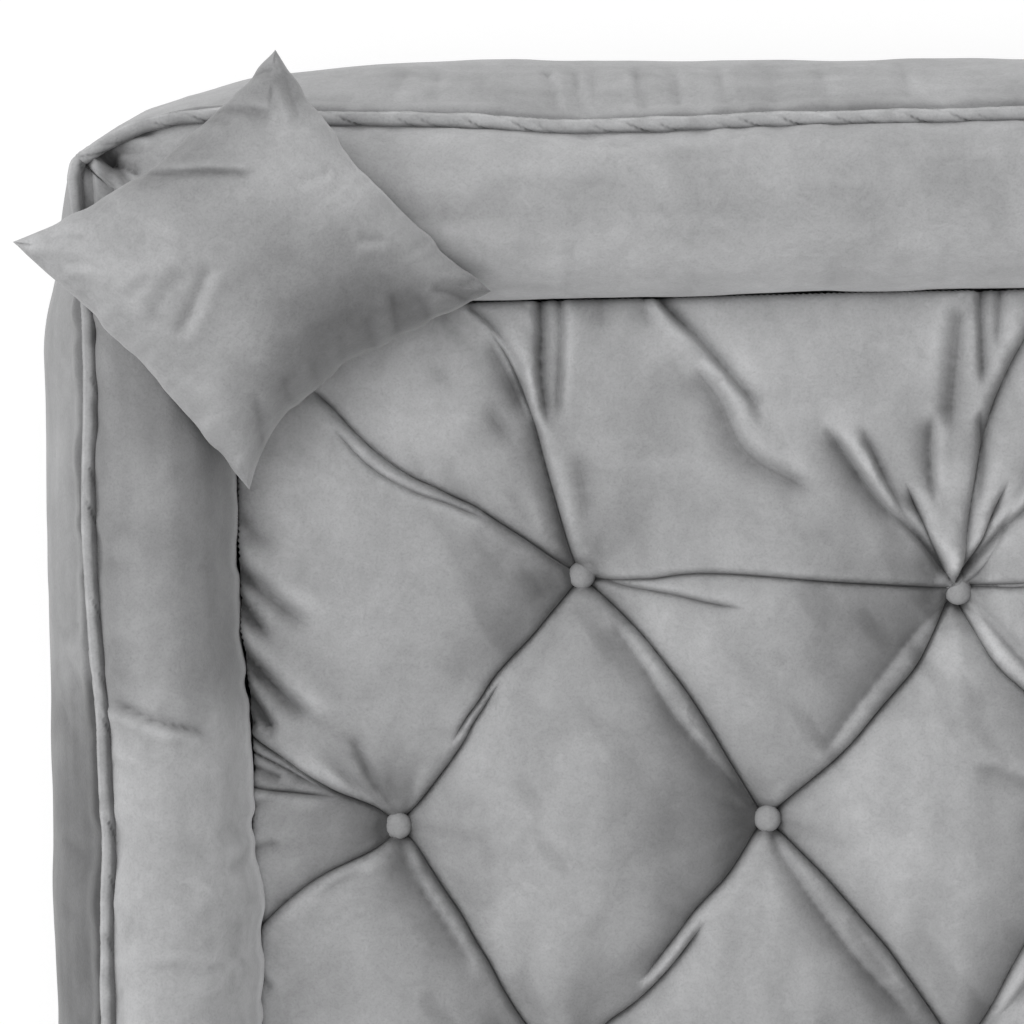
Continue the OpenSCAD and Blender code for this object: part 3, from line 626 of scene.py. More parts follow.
def polyline_field(x, y, path, reach):
    """Which points lie within reach of a path, their distance, side and run along it, and its length."""
    low, high = path.min(0) - reach, path.max(0) + reach
    near = (x > low[0]) & (x < high[0]) & (y > low[1]) & (y < high[1])
    px, py = x[near], y[near]
    best, side, run = np.full(px.shape, np.inf), np.ones(px.shape), np.zeros(px.shape)
    done = 0.0
    for a, d in zip(path[:-1], np.diff(path, axis=0)):
        size = math.hypot(*d)
        if size < 1e-6:
            continue
        t = np.clip(((px - a[0]) * d[0] + (py - a[1]) * d[1]) / size ** 2, 0, 1)
        ox, oy = px - a[0] - t * d[0], py - a[1] - t * d[1]
        dist = np.hypot(ox, oy)
        closer = dist < best
        best[closer] = dist[closer]
        side[closer] = np.where(d[0] * oy - d[1] * ox >= 0, 1.0, -1.0)[closer]
        run[closer] = done + t[closer] * size
        done += size
    return near, best, side, run, done


def crease_depth(x, y, path, depth, width, fold, end_depth=0.0):
    """How deep a crease cuts at places in plan, less the fold that rises beside it."""
    near, dist, side, along, size = polyline_field(x, y, path, 7 * width + 4)
    fade = np.minimum(1, end_depth + 2.2 * np.sin(np.pi * np.clip(along / size, 0, 1)) ** 0.8)
    cut = depth * np.exp(-((dist / width) ** 1.2))
    if fold:
        cut = cut - 0.55 * depth * hump(dist * side * fold, 2.1 * width, 1.3 * width)
    return near, cut * fade


def clear_of_zip(p):
    """Draws the cover in behind the zip tape."""
    up = np.abs((p - ZIP_MID) @ ZIP_UP)
    proud = np.maximum((p - ZIP_MID) @ ZIP_OUT + 0.1, 0)
    beside = smoothstep(np.abs(p[..., 0]), ZIP_LEN / 2 + 5, ZIP_LEN / 2 + 34)
    share = (1 - beside) * (1 - smoothstep(up, 14.5, 40.0))
    return p - ZIP_OUT * (proud * share)[..., None]


def rim_stray(walk, along, seed):
    """How far the rim beside the cushion strays, with its scallops."""
    if walk.back:
        scallop = np.maximum(0.3 + 0.9 * noise_at(along, 0.0, 45.0, seed), -0.2)
    else:
        scallop = 2.2 * noise_at(along, 0.0, 25.0, seed) + 2.4 * noise_at(along, 5.0, 12.0, seed)
        scallop = np.minimum(scallop - 0.3, 0.9)
    return np.interp(along, *walk.rim.T) + scallop


def cloth_relief(walk, p, run, seed, inner):
    """How the cover stands out. Seams pull the cloth in, and it puckers between the stitches."""
    s = np.broadcast_to(walk.distance[:, None], run.shape)
    corner = walk.from_mitre[:, None]
    pucker = 1.7 * noise_at(s, run * 0.25, 13.0, seed + 1) * fading(run, 20.0)
    pucker += 2.6 * noise_at(s, run * 0.12, 30.0, seed + 2, 7.0) * fading(run, 60.0)
    lumps = 3.0 * noise(p, 150.0, seed + 3) + 1.9 * noise(p, 64.0, seed + 4)
    lumps += 0.5 * noise(p, 27.0, seed + 5)
    free = 1 - fading(run, 30.0)
    d = pucker * smoothstep(run, 0, 6) + lumps * free
    if inner:
        gathers = 2.4 * noise_at(s * 0.3, run, 18.0, seed + 6) * fading(corner, 38.0)
        return d + 1.6 * hump(run, 15.0, 11.0) - 1.4 * fading(corner, 4.0) + gathers * free
    gathers = 2.2 * noise_at(s * 0.25, run, 22.0, seed + 7) * fading(corner, 45.0)
    return d - fading(corner, 5.0) + gathers * free


def wall_creases(walk, p, inner):
    """The depth of the creases at each point, and the painted shade in them."""
    cuts, darker = np.zeros(p.shape[:2]), np.zeros(p.shape[:2])
    above = p[..., 2] > (INNER_CREASED if inner else OUTER_CREASED)
    for pixels, depth, width, fold in WALL_CREASES:
        path = traced(pixels, INNER_Z if inner else OUTER_Z)
        near, cut = crease_depth(p[..., 0], p[..., 1], path, depth, width, fold)
        cuts[near] += cut * above[near]
        darker[near] += cut * above[near] / depth * min(0.34, 0.07 * depth)
    for pixels, depth, width, fold in CORNER_FOLDS if inner else ():
        for side in (1, -1) if walk.back else (1,):
            path = traced(pixels, PINCH_Z)
            near, cut = crease_depth(side * p[..., 0], p[..., 1], path, depth, width, fold, 0.75)
            cuts[near] += cut * above[near]
            darker[near] += 0.036 * cut * above[near]
    return cuts, darker


def wall_pile_and_painted_light(walk, p, n, seed, inner, mirrored):
    """Tone of the walls' pile: random streaks, with painted light and shade by slope and by place."""
    x, y, z = np.moveaxis(p, -1, 0)
    # How steep the cover is. Painted sheen lightens steep parts, except on the rear of the arm's inner
    # cover, where they get painted shade
    across = 1 - n[..., 2] ** 2
    streaks = 0.09 * noise(p, 60.0, seed) + 0.06 * noise(p, 21.0, seed + 5)
    if walk.back:
        streaks += 0.05 * noise(p / [90, 9, 9], 1.0, seed + 1) - 0.05
        if not inner:
            return 0.17 * across + streaks
        # Lighter where the inner cover bulges out furthest, darker up near the welt; painted sheen lightens
        # its slopes
        slope = 0.13 * smoothstep(-y, -345.0, -318.0) - 0.12 * smoothstep(y, 368.0, 393.0)
        return 0.42 * across + slope + streaks
    streaks += 0.05 * noise(p / [9, 90, 9], 1.0, seed + 2)
    back_from = -(y + 14 * noise(flat_points(x, 0.0, z), 30.0, seed + 3))
    if not inner:
        turn = smoothstep(back_from, -52.0, -10.0)
        # Painted shade on the outer cover from halfway up to the welt, deeper towards the front
        return streaks - 0.06 - 0.04 * turn - (0.06 + 0.36 * turn) * smoothstep(z, 85.0, 160.0)
    turn = smoothstep(back_from, -30.0, 30.0)
    crushed = smoothstep(noise(p, 60.0, seed + 6), 0.0, 0.35) * smoothstep(-y, -60.0, 20.0)
    streaks += 0.18 * crushed * np.minimum(noise(p, 8.5, seed + 7), 0.1)
    if not mirrored:
        # Painted shadow of the pillow on the left arm's inner cover
        streaks += brushed_and_painted_tone(x, y, brushed_and_painted_patches([(PILLOW_SHADOW_PX, PILLOW_SHADOW_R, -0.24)], INNER_Z))
    # Darker on the rear part, where the slopes get painted shade; towards the front painted sheen lightens
    # the slopes
    return across * (-0.10 + 0.34 * turn) - 0.18 * (1 - turn) + 0.02 * turn + streaks


def wall_strip(walk, swell, seed, inner, mirrored):
    """One side of a wall from the floor up to the welt: its points and their pile tone with painted light
    and shade.
    """
    in_arm, in_back, height = (inner_profile if inner else outer_profile)(swell)
    p = walk.drawn(walk.place(in_arm, in_back, height), np.maximum(in_arm, 0))
    if inner:
        part = smoothstep(in_arm / ARM_IN, 0.45, 0.95) * smoothstep(height, SEAT_Z + 5, SEAT_Z + 50)
        stray = rim_stray(walk, p[..., walk.along], seed + 9)
        p[..., walk.across] += part * stray * (walk.from_mitre[:, None] > TURN_LEN)
    sign = 1.0 if inner == walk.back else -1.0
    n = sign * unit(np.cross(np.gradient(p, axis=0), np.gradient(p, axis=1)))
    run = section_run(p)
    cuts, darker = wall_creases(walk, p, inner)
    d = cloth_relief(walk, p, run, seed, inner) - cuts
    z = p[..., 2]
    # Painted shade in the seam along the welt
    darker += 0.22 * hump(run, 2.0, 3.0)
    if inner:
        # The floor, the deck and the leg over the base stay flat
        low = RUNGS_LEG + RUNGS_FLOOR
        d[:, :low] = 0
        d[:, low:] *= smoothstep(z[:, low:], SEAT_Z, SEAT_Z + 25)
        rim = smoothstep(in_arm, 55.0, 70.0) * (1 - smoothstep(z, 184.0, 212.0))
        d = d * (1 - rim) + np.clip(d, -0.6, 0.2) * rim
        # On the arm, a painted highlight along the inner cover's rim over the cushion
        if not walk.back:
            darker -= 0.34 * hump(in_arm, ARM_IN, 1.3) * smoothstep(z, 135.0, 168.0)
    else:
        d = d * smoothstep(z, BASE_Z, BASE_Z + 25)
        # Painted shade on the outer cover under the welt
        darker += 0.16 * fading(run, 18.0)
    shaped = p + n * d[..., None]
    if walk.back and not inner:
        shaped = clear_of_zip(shaped)
    nap_seed = 611 if mirrored else 601
    return shaped, wall_pile_and_painted_light(walk, p, n, nap_seed, inner, mirrored) - darker


def add_wall(name, kind, mirrored, nodes):
    walk = Walk(kind, BACK_STEP if kind == "back" else ARM_STEP)
    swell = walk.swell()
    seed = {"back": 11, "arm": 23}[kind] + (40 if mirrored else 0)
    (outer, outer_pile_and_painted_light), (inner, inner_pile_and_painted_light) = (
        wall_strip(walk, swell, seed, side, mirrored) for side in (False, True))
    loop = np.concatenate([outer, inner[:, ::-1]], 1) * (MIRROR_X if mirrored else 1)
    # Tone of each point: the pile's own with painted light and shade
    pile_and_painted_light = np.concatenate([outer_pile_and_painted_light, inner_pile_and_painted_light[:, ::-1]], 1)
    obj = add_piece(name, loop.reshape(-1, 3), [capped_loop(*loop.shape[:2])], velvet, "bed")
    lay_pile_and_painted_light(obj, pile_and_painted_light.reshape(-1))
    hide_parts(*nodes)


add_wall("back_bolster", "back", False, ["back_outer_panel", "back_inner_panel", "back_fill"])
add_wall("left_arm_bolster", "arm", False, ["left_outer_panel", "left_inner_panel", "left_arm_fill"])
add_wall("right_arm_bolster", "arm", True, ["right_outer_panel", "right_inner_panel", "right_arm_fill"])


# Welts
WELT_STEP, CORD_STEP = 3.0, 1.9
WELT_PAST = 3.0


def bias_cord(path, side, seed, radius=WELT_R, sides=16, lean=1, apart=33.0):
    """A cord in a bias-cut cover with slanting wrinkles: its points, faces and how deep its marks are."""
    path, at = resampled(path, CORD_STEP)
    tangent = unit(np.gradient(path, axis=0))
    u = unit(np.cross(np.broadcast_to(side, path.shape), tangent))
    v = np.cross(tangent, u)
    s, angle = at[:, None], (2 * np.pi * np.arange(sides) / sides)[None, :]
    turn = np.minimum(angle, 2 * np.pi - angle)
    slant = s * 0.9 + lean * 8.7 * turn
    wrinkles = 1.0 - 2.0 * np.abs(noise_at(slant, turn, 6.5, seed))
    r = radius - 0.3 + 0.28 * wrinkles + 0.5 * noise_at(s, turn * 3, 21.0, seed + 1)
    # Where the bias strip is joined or pulled, a deeper slanting crease
    marks = np.zeros_like(r)
    for k in range(-1, int(at[-1] / apart) + 1):
        place = apart * (k + 0.5 + 0.25 * math.sin(2.3 * k + seed)) * 0.9
        marks += (0.8 + 0.4 * math.sin(1.7 * k + seed)) * hump(slant, place, 1.2)
    near_end = np.minimum(s, at[-1] - s)
    r = (r - marks) * (0.55 + 0.45 * smoothstep(near_end, -1.0, 6.0))
    ring = u[:, None] * np.cos(angle)[..., None] + v[:, None] * np.sin(angle)[..., None]
    points = (path[:, None] + ring * r[..., None]).reshape(-1, 3)
    points = np.vstack([points, path[0], path[-1]])
    return points, tube_faces(len(path), sides), np.append(marks, [0.0, 0.0])


def welt_path(walk):
    """The line of the welt, run on a little past the mitres."""
    zero = np.zeros((len(walk.turn), 1))
    path = walk.drawn(walk.place(zero, zero, zero + WELT_H), zero)[:, 0]
    path[:, 2] += 0.9 * noise_at(walk.distance, 0.0, 60.0, 5)
    path = np.vstack([path[0] + unit(path[0] - path[1]) * WELT_PAST, path])
    distance = np.append(0, walk.distance)
    if walk.back:
        path = np.vstack([path, path[-1] + unit(path[-1] - path[-2]) * WELT_PAST])
        distance = np.append(distance, distance[-1])
    path[:, walk.across] += 0.8 * noise_at(distance, 3.0, 48.0, 6) * smoothstep(distance, 30, 80)
    return path


def add_welt(name, kind, mirrored, node, seed):
    back = kind == "back"
    lean, apart = (-1, 27.0) if back else (1, 48.0)
    path = welt_path(Walk(kind, WELT_STEP))
    points, faces, marks = bias_cord(path, (0, 0, 1), seed, WELT_R - 0.7, 18, lean, apart)
    points = points * (MIRROR_X if mirrored else 1)
    obj = add_piece(name, points, faces, velvet, "bed")
    facing = soft_normals(points, faces, 1)
    outward = facing[:, 1] if back else facing[:, 0] * (1 if mirrored else -1)
    # Painted highlight along the cord's outer side, painted shade on its inner side and in its slanting
    # marks there, and random pile tone
    pile_and_painted_light = 0.30 * hump(outward, 0.72, 0.16)
    if back:
        pile_and_painted_light += 0.02 + 0.14 * hump(outward, 0.3, 0.1) - 0.4 * smoothstep(-outward, 0.55, 0.95)
    else:
        pile_and_painted_light -= 0.04 + 0.5 * smoothstep(-outward, -0.05, 0.5)
    mark_shade = 0.55 * np.clip(marks, 0, 1) * smoothstep(-outward, -0.35, 0.1)
    lay_pile_and_painted_light(obj, pile_and_painted_light - mark_shade + 0.12 * noise(points, 12.0, seed + 5))
    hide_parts(node)


add_welt("back_welt_cord", "back", False, "back_welt", 61)
add_welt("left_welt_cord", "arm", False, "left_welt", 62)
add_welt("right_welt_cord", "arm", True, "right_welt", 63)


# Front facings of the arms
OUTLINE_STEP = 4.0
FACING_MID = np.array([ARM_IN * 0.4, WALL_H / 2])
FACING_RINGS, FACING_TUCK = 30, 4.0


def arm_end_outline():
    """The arm's front outline from the floor over the crown to the floor: in past the welt, and height."""
    swell = np.array([ARM_LINE[0, 2]])
    sides = [profile(swell) for profile in (outer_profile, inner_profile)]
    outer, inner = (np.stack([in_arm[0], z[0]], -1) for in_arm, _, z in sides)
    inner = inner[RUNGS_LEG + RUNGS_FLOOR:][::-1]
    foot = np.array([[inner[-1, 0], BASE_Z]])
    line, _ = resampled(np.vstack([outer, inner, foot]), OUTLINE_STEP)
    for _ in range(2):
        line[1:-1] = (line[:-2] + 2 * line[1:-1] + line[2:]) / 4
    return line


def beside(line):
    """Steps of length 1 to the right of a line in a plane."""
    t = unit(np.gradient(line, axis=0))
    return np.stack([t[:, 1], -t[:, 0]], -1)


def inset_line(line, depth, lowest):
    moved = line + depth * beside(line)
    moved[:, 1] = np.maximum(moved[:, 1], lowest)
    return moved


def on_front(places, out):
    """Points on an arm's front end, where places are (in past the welt, height)."""
    return flat_points(-WELT_X + places[..., 0], FACING_Y - out, places[..., 1])


def add_facing(name, welt_name, mirrored, node, welt_node, seed):
    line = arm_end_outline()
    turn = MIRROR_X if mirrored else 1
    path = on_front(inset_line(line, WELT_R * 0.7, BASE_Z + WELT_R), 0.0)
    points, faces, _ = bias_cord(path, (0, 1, 0), seed)
    cord = add_piece(welt_name, points * turn, faces, velvet, "bed")
    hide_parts(welt_node)

    # Rings from the tucked edge and the rim to near the middle
    rim = inset_line(line, WELT_R * 1.45, BASE_Z)
    shares = np.append([1.0, 1.0], 1 - np.linspace(0, 1, FACING_RINGS)[1:-1] ** 1.3)[:, None]
    out = DOME * (1 - shares ** 2.6) ** 0.8
    out[0] = -FACING_TUCK
    p = on_front(FACING_MID + shares[..., None] * (rim - FACING_MID), out)
    s = np.arange(len(line)) * OUTLINE_STEP
    pucker = 1.2 * noise_at(s, (1 - shares) * 40.0, 14.0, seed + 3) * fading(1 - shares, 0.12)
    lumps = 1.2 * noise(p, 45.0, seed + 4) * (1 - fading(1 - shares, 0.2))
    p[1:, :, 1] += np.minimum(pucker + lumps, 1.2)[1:]
    ends = on_front(FACING_MID, np.array([-FACING_TUCK, DOME]))
    points = np.vstack([p.reshape(-1, 3), ends])
    panel = add_piece(name, points * turn, tube_faces(*p.shape[:2]), velvet, "bed")
    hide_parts(node)


add_facing("left_facing_pad", "left_facing_cord", False, "left_facing", "left_facing_welt", 71)
add_facing("right_facing_pad", "right_facing_cord", True, "right_facing", "right_facing_welt", 81)


# Base
BASE_STEP = 6.0


def base_plan(out, front_y):
    """Outline in plan of a layer of the base, out past the line of the welt and on to front_y."""
    sides = []
    for kind in ("arm", "back"):
        walk = Walk(kind, BASE_STEP)
        p = np.full((len(walk.turn), 1), -out)
        sides.append(walk.place(p, p, p)[:, 0, :2])
    left, rear = sides
    left[:, 1] = np.maximum(left[:, 1], front_y)
    if left[-1, 1] > front_y:
        left = np.vstack([left, [left[-1, 0], front_y]])
    return np.vstack([left[::-1], rear[1:-1], left * MIRROR_X[:2]])


def slab(name, plan, profile, material, node):
    """A closed slab: its plan drawn in by each (inset, height) of the profile."""
    rings = [np.column_stack([plan + beside(plan) * inset, np.full(len(plan), z)]) for inset, z in profile]
    ring = np.arange(len(plan))
    faces = [grid_quads(len(rings), len(plan)), (len(rings) - 1) * len(plan) + ring, ring[::-1]]
    obj = add_piece(name, np.vstack(rings), faces, material, "bed")
    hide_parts(node)


NONSLIP = [(0.8, 0.0), (0.1, 0.5), (0.0, 1.0), (0.1, 1.6), (0.6, 2.0)]
FOAM = [(1.5, 2.3), (0.3, 3.2), (0.0, 5.0), (0.0, 53.6), (0.3, 55.4), (1.5, 56.3)]
DECK = [(0.6, 56.6), (0.1, 57.0), (0.0, 57.6), (0.1, 58.2), (0.6, 58.6)]
base_inside = base_plan(FOOT - CLOTH - GAP, WALL_END_Y)
slab("nonslip_underside", base_plan(FOOT, FACING_Y), NONSLIP, nonslip_cloth, "nonslip_bottom")
slab("base_foam_slab", base_inside, FOAM, foam, "base_foam")
slab("deck_cloth_panel", base_inside, DECK, velvet, "deck_panel")


BAND_COLUMNS, BAND_ROWS = 261, 24


def add_front_band():
    half = WELT_X - INNER[-1][0] * ARM_IN - WELT_R - GAP
    x, t = np.meshgrid(np.linspace(-half, half, BAND_COLUMNS), np.linspace(0, 1, BAND_ROWS), indexing="ij")
    bow = 3.5 * np.sin(np.pi * t) ** 0.8
    ripple = 0.7 * noise_at(x, t * 12.0, 16.0, 91) * (fading(t, 0.18) + fading(1 - t, 0.18))
    ripple += 0.9 * noise_at(x, t * 30.0, 70.0, 92) * np.sin(np.pi * t)
    front = np.stack([x, FACING_Y - bow + ripple * 0.8, BASE_Z + (DECK_TOP - BASE_Z) * t], -1)
    rear = front + np.array([0.0, CLOTH, 0.0])
    loop = np.concatenate([front, rear[:, ::-1]], 1)
    obj = add_piece("front_band_panel", loop.reshape(-1, 3), [capped_loop(*loop.shape[:2])], velvet, "bed")
    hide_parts("front_band")


add_front_band()


# Zip. The tape's section is in (up the cover, out of it), and a tooth's bar in (along, out, up)
TAPE = [
    (-13, 0.3), (-13, 1.3), (-12.2, 1.5), (-4, 1.5), (-0.3, 1.5), (0.3, 1.5), (4, 1.5), (12.2, 1.5),
    (13, 1.3), (13, 0.3), (0.3, 0.3), (-0.3, 0.3),
]
TAPE_POINTS = 251
COIL_HALF, COIL_R, COIL_SIDES, COIL_PITCH, COIL_CLEAR = 2.45, 0.52, 6, 1.35, 4.0
TOOTH = np.array([
    (0, 1.75, COIL_HALF), (0, 2.95, COIL_HALF * 0.92), (0.1, 3.45, COIL_HALF * 0.5),
    (0.15, 3.4, -0.2), (0.1, 2.9, -COIL_HALF * 0.36), (0, 2.2, -COIL_HALF * 0.4),
])


def on_zip(x, out, up):
    """Points by how far along the zip, out of the cover and up it they lie."""
    return ZIP_MID + flat_points(x, out, up) @ np.array([(1.0, 0, 0), ZIP_OUT, ZIP_UP])


def add_zip_tape():
    x = np.linspace(-ZIP_LEN / 2, ZIP_LEN / 2, TAPE_POINTS)[:, None]
    up, out = np.array(TAPE).T[:, None]
    wave = 0.15 * noise_at(x, up, 14.0, 95) * (np.abs(up) > 4) * (out > 1)
    p = on_zip(x, out + wave, up)
    rows, cols = p.shape[:2]
    ring = np.arange(cols)
    faces = [grid_quads(rows, cols), ring[::-1], (rows - 1) * cols + ring]
    tape = add_piece("zip_tape_strip", p.reshape(-1, 3), faces, zip_tape, "bed")
    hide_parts("zip_tape")


def add_zip_coil():
    """Each tooth is one turn of the coil: a bent bar that hooks over the middle of the tape."""
    ring = 2 * np.pi * np.arange(COIL_SIDES)[:, None] / COIL_SIDES
    points, quads, ends = [], [], []
    for k in range(int((ZIP_LEN - 2 * COIL_CLEAR) / COIL_PITCH)):
        line = TOOTH * np.array([1, 1, 1 if k % 2 else -1])
        along = np.array([1.0, 0, 0])
        across = unit(np.cross(unit(np.gradient(line, axis=0)), along))
        bar = line[:, None] + COIL_R * (np.cos(ring) * along + np.sin(ring) * across[:, None])
        bar[..., 0] += -ZIP_LEN / 2 + COIL_CLEAR + COIL_PITCH * (k + 0.5)
        points.append(bar.reshape(-1, 3))
        start = k * len(points[0])
        quads.append(grid_quads(len(line), COIL_SIDES, start))
        first = start + np.arange(COIL_SIDES)
        ends += [first[::-1], first + len(points[0]) - COIL_SIDES]
    faces = [np.vstack(quads), np.array(ends)]
    coil = add_piece("zip_coil_teeth", on_zip(*np.vstack(points).T), faces, zip_coil, "bed")
    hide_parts("zip_coil")


add_zip_tape()
add_zip_coil()

# Seat cushion
SEAT_HW = WELT_X - ARM_IN - 1.9
SEAT_REAR, SEAT_FRONT = WELT_Y - BACK_IN - 2.0, -BED_D / 2 + 8.0
SEAT_MID, SEAT_HD = (SEAT_REAR + SEAT_FRONT) / 2, (SEAT_REAR - SEAT_FRONT) / 2
SEAM_Z = SEAT_Z + 62.0
CROWN, PIT_SHOWN = 48.0, 29.0
PITCH_X, PITCH_Y = 261.5, 167.0
# How far each tuft strays from its place in the pattern, in shares of the pitch between rows
STRAY = {
    (-3, 0): (0.004, 0.012), (-1, 0): (-0.013, 0.014), (1, 0): (0.01, -0.01), (3, 0): (-0.008, 0.012),
    (-2, -1): (0.012, 0.01), (0, -1): (-0.01, -0.015), (2, -1): (0.012, 0.012),
    (-2, 1): (0.01, 0.049), (0, 1): (0.021, -0.047), (2, 1): (-0.008, 0.02),
}
TUFTS = [
    np.array([column * PITCH_X / 2 + PITCH_Y * dx, SEAT_MID + PITCH_Y * (row + dy)])
    for (column, row), (dx, dy) in STRAY.items()
]

# Folds read off the picture: path in its pixels, then for the cloth (valley depth, valley reach,
# slit depth, crease depth, crease half width, pleat height, side of the pleat). A fold with four
# values has no valley and no slit
FOLDS_UPPER = [
    ("579,572 571,553 563,527 553,492 545,464 535,425 527,403 517,377 503,350 488,333",
     5, 22, 4.5, 4.5, 4.5, 3.0, -1),
    ("484,336 496,356 508,378 519,402 528,426", 7.5, 5.5, 0, 1),
    ("526,384 515,362 502,338 485,320 470,310", 5.5, 3.0, 3.4, 1),
    ("541,330 534,318 524,309", 3.0, 3.0, 0.8, 1),
    ("538,290 542,330 540,363 543,397 549,433", 4, 20, 0, 8.5, 4.6, 5.0, -1),
    ("559,290 561,330 560,370 556,428", 6.0, 3.6, 3.0, 1),
    ("574,445 580,470 585,500 588,530", 4.0, 6.5, 1.4, -1),
    ("483,405 496,424 508,440 520,455", 3.2, 5.5, 0, 1), ("430,358 444,376 459,396", 3.0, 5.0, 0, 1),
    ("437,450 448,464 462,479", 3.2, 4.0, 1.0, 1), ("505,480 520,510 540,540", 2.2, 5.0, 0, 1),
    ("640,288 652,312 668,336", 4.0, 3.4, 1.4, 1), ("600,300 604,330 600,352", 1.8, 5.0, 0, 1),
    ("312,384 321,395 335,410 349,426 363,440 374,450 388,461 404,472 418,480 431,485 443,491 "
     "457,498 476,506 490,516 504,525 520,535 535,545 551,557 574,571", 9, 22, 4.5, 3.5, 5.0, 3.0, -1),
    ("487,518 467,512 447,503 420,495 402,486 386,478 369,466 355,453 343,439 330,424",
     3, 20, 2.5, 3.4, 3.0, 1.0, 1),
    ("532,549 508,540 492,530", 2.0, 3.5, 0, 1),
    ("400,470 380,452 366,430 352,402 338,376 322,350", 3, 26, 0, 1.0, 6, 0, 1),
    ("390,441 431,472", 2.4, 8, 0, 1), ("439,457 469,484", 2.4, 8, 0, 1),
    ("484,404 500,428 516,449", 2.4, 8, 0, 1), ("431,361 451,396", 2.2, 8, 0, 1),
    ("443,317 469,349", 2.2, 8, 0, 1),
    ("652,292 663,306 678,321 695,335 711,354 727,372 743,391 754,404 764,420",
     5, 20, 0, 8.0, 4.8, 4.8, -1),
    ("641,290 647,321 652,336", 4.5, 4, 1.2, 1),
    ("690,366 704,382 718,400 726,418 733,436 744,452 762,467 784,477 815,496",
     2, 18, 0, 8.0, 6.0, 2.0, 1),
    ("955,584 949,577 940,560 930,540 921,520 912,502 903,482", 5, 22, 4.5, 6.5, 5.4, 2.4, -1),
    ("950,578 942,566 930,550 916,535 892,516 876,500 860,479 846,458 833,440 820,424",
     3, 18, 0, 9.5, 4.4, 4.4, -1),
    ("946,570 925,546 905,520 892,496 879,470 868,446 857,424", 7.5, 4.2, 3.0, 1),
    ("957,322 954,350 950,390 947,440", 7.5, 7.5, 3.0, -1),
    ("930,408 928,440 929,475 935,510", 7.5, 4.4, 2.8, 1),
    ("979,276 977,315 979,348 982,396", 7.0, 4.8, 4.6, -1), ("998,276 997,320 992,360", 5.5, 4, 1.0, 1),
    ("964,583 966,540 969,509 975,470 982,434 989,410 996,392 1010,361 1025,338 1040,300",
     6, 24, 1.5, 6.5, 5.4, 2.8, 1),
    ("968,541 966,512", 3, 4, 0, 1),
    ("967,583 979,574 990,556 1002,532 1008,520", 0, 1, 1.5, 3.4, 4, 0.8, 1),
    ("594,579 619,580 640,579 654,579 681,574 714,573 762,576 816,581 870,584 925,587 949,588",
     8, 16, 4.5, 2.2, 3.0, 1.0, 1),
    ("594,577 605,579 624,586 654,591 681,596 708,603 745,609", 0, 1, 3.0, 3.6, 4, 1.2, 1),
    ("972,585 1000,584 1028,583 1060,580", 8, 16, 4, 2.2, 3.0, 0.8, 1),
    ("391,820 384,814 376,808 360,801 338,793 325,785 308,773 290,757 268,741 238,716",
     12, 24, 4.5, 4.5, 4.5, 2.0, -1),
    ("264,752 279,760 293,768 308,779 326,789", 0, 1, 3.0, 4.5, 3.6, 2.4, 1),
    ("238,780 250,783 271,788 295,791 322,795 338,796", 0, 1, 4.0, 3.6, 4, 1.6, -1),
    ("392,811 388,805 371,778 360,751 350,720", 4, 4, 1.2, 1),
    ("386,812 378,802 352,781 338,768 320,743", 3.8, 4, 1.2, 1),
    ("301,694 317,719 333,739", 3, 4.5, 0.5, 1), ("390,765 392,808", 1.8, 4, 0, 1),
    ("419,768 410,803", 1.8, 5, 0, 1),
    ("228,500 236,522 245,544 258,566 276,588 296,608 322,632", 8.0, 7.0, 5.0, 1),
    ("232,488 243,506 251,528", 3.0, 7.0, 0, 1),
    ("226,548 238,566 252,586 266,606 282,630 292,646", 8.0, 5.6, 5.0, 1),
    ("228,598 240,614 249,630 262,654 282,680 306,710 318,728", 9.0, 6.4, 5.2, 1),
    ("230,640 244,656 254,676 268,702 280,724", 8.0, 5.0, 4.2, 1),
    ("234,690 248,703 264,722", 8.0, 3.6, 2.4, 1), ("236,752 250,762 268,768 286,776", 6.5, 3.6, 2.4, 1),
    ("236,806 256,806 280,800 300,792", 4.0, 4.4, 2.0, 1),
    ("238,560 262,574 290,584 322,588", 2.4, 8, 0, 1), ("262,520 280,536 300,556", 2.2, 7, 0, 1),
    ("244,846 262,848 284,842", 4.0, 4.0, 1.6, 1), ("246,960 262,968 276,984", 4.5, 4.4, 2.0, 1),
    ("403,820 419,804 438,779 452,760 465,741 473,724 484,708 493,692 500,683",
     17, 27, 5, 3.5, 4.5, 2.0, 1),
    ("453,741 466,718 480,700 493,678 512,657 533,636 549,616 563,600 575,585",
     17, 27, 5, 3.2, 4.5, 1.4, 1),
    ("504,706 527,676 549,643 565,612", 2.5, 8, 0, 1),
    ("590,584 604,596 624,615 645,637 666,664 684,687 698,708 713,732 728,758 743,782 760,810",
     17, 27, 5, 3.5, 4.5, 2.4, -1),
    ("608,618 633,649 651,678 666,705 681,726 698,744 716,764 734,785 752,806",
     4, 20, 0, 4.5, 4.5, 0, 1),
    ("685,710 692,722 702,736", 0, 1, 2, 2.5, 3, 0, 1),
    ("949,604 929,646 915,670 897,690 876,714 855,741 835,761 814,779 796,794 778,811",
     17, 27, 5, 3.5, 4.5, 2.0, -1),
    ("947,606 933,614 904,643 882,673 861,699 841,727 819,759", 4.0, 5, 0, 1),
    ("950,622 932,658 918,682", 2.5, 6, 0, 1),
    ("968,599 977,604 994,622 1009,637 1030,661", 14, 26, 0, 4, 5, 1.0, 1),
    ("968,767 994,769 1024,781 1050,790", 4, 5, 1.5, 1),
]
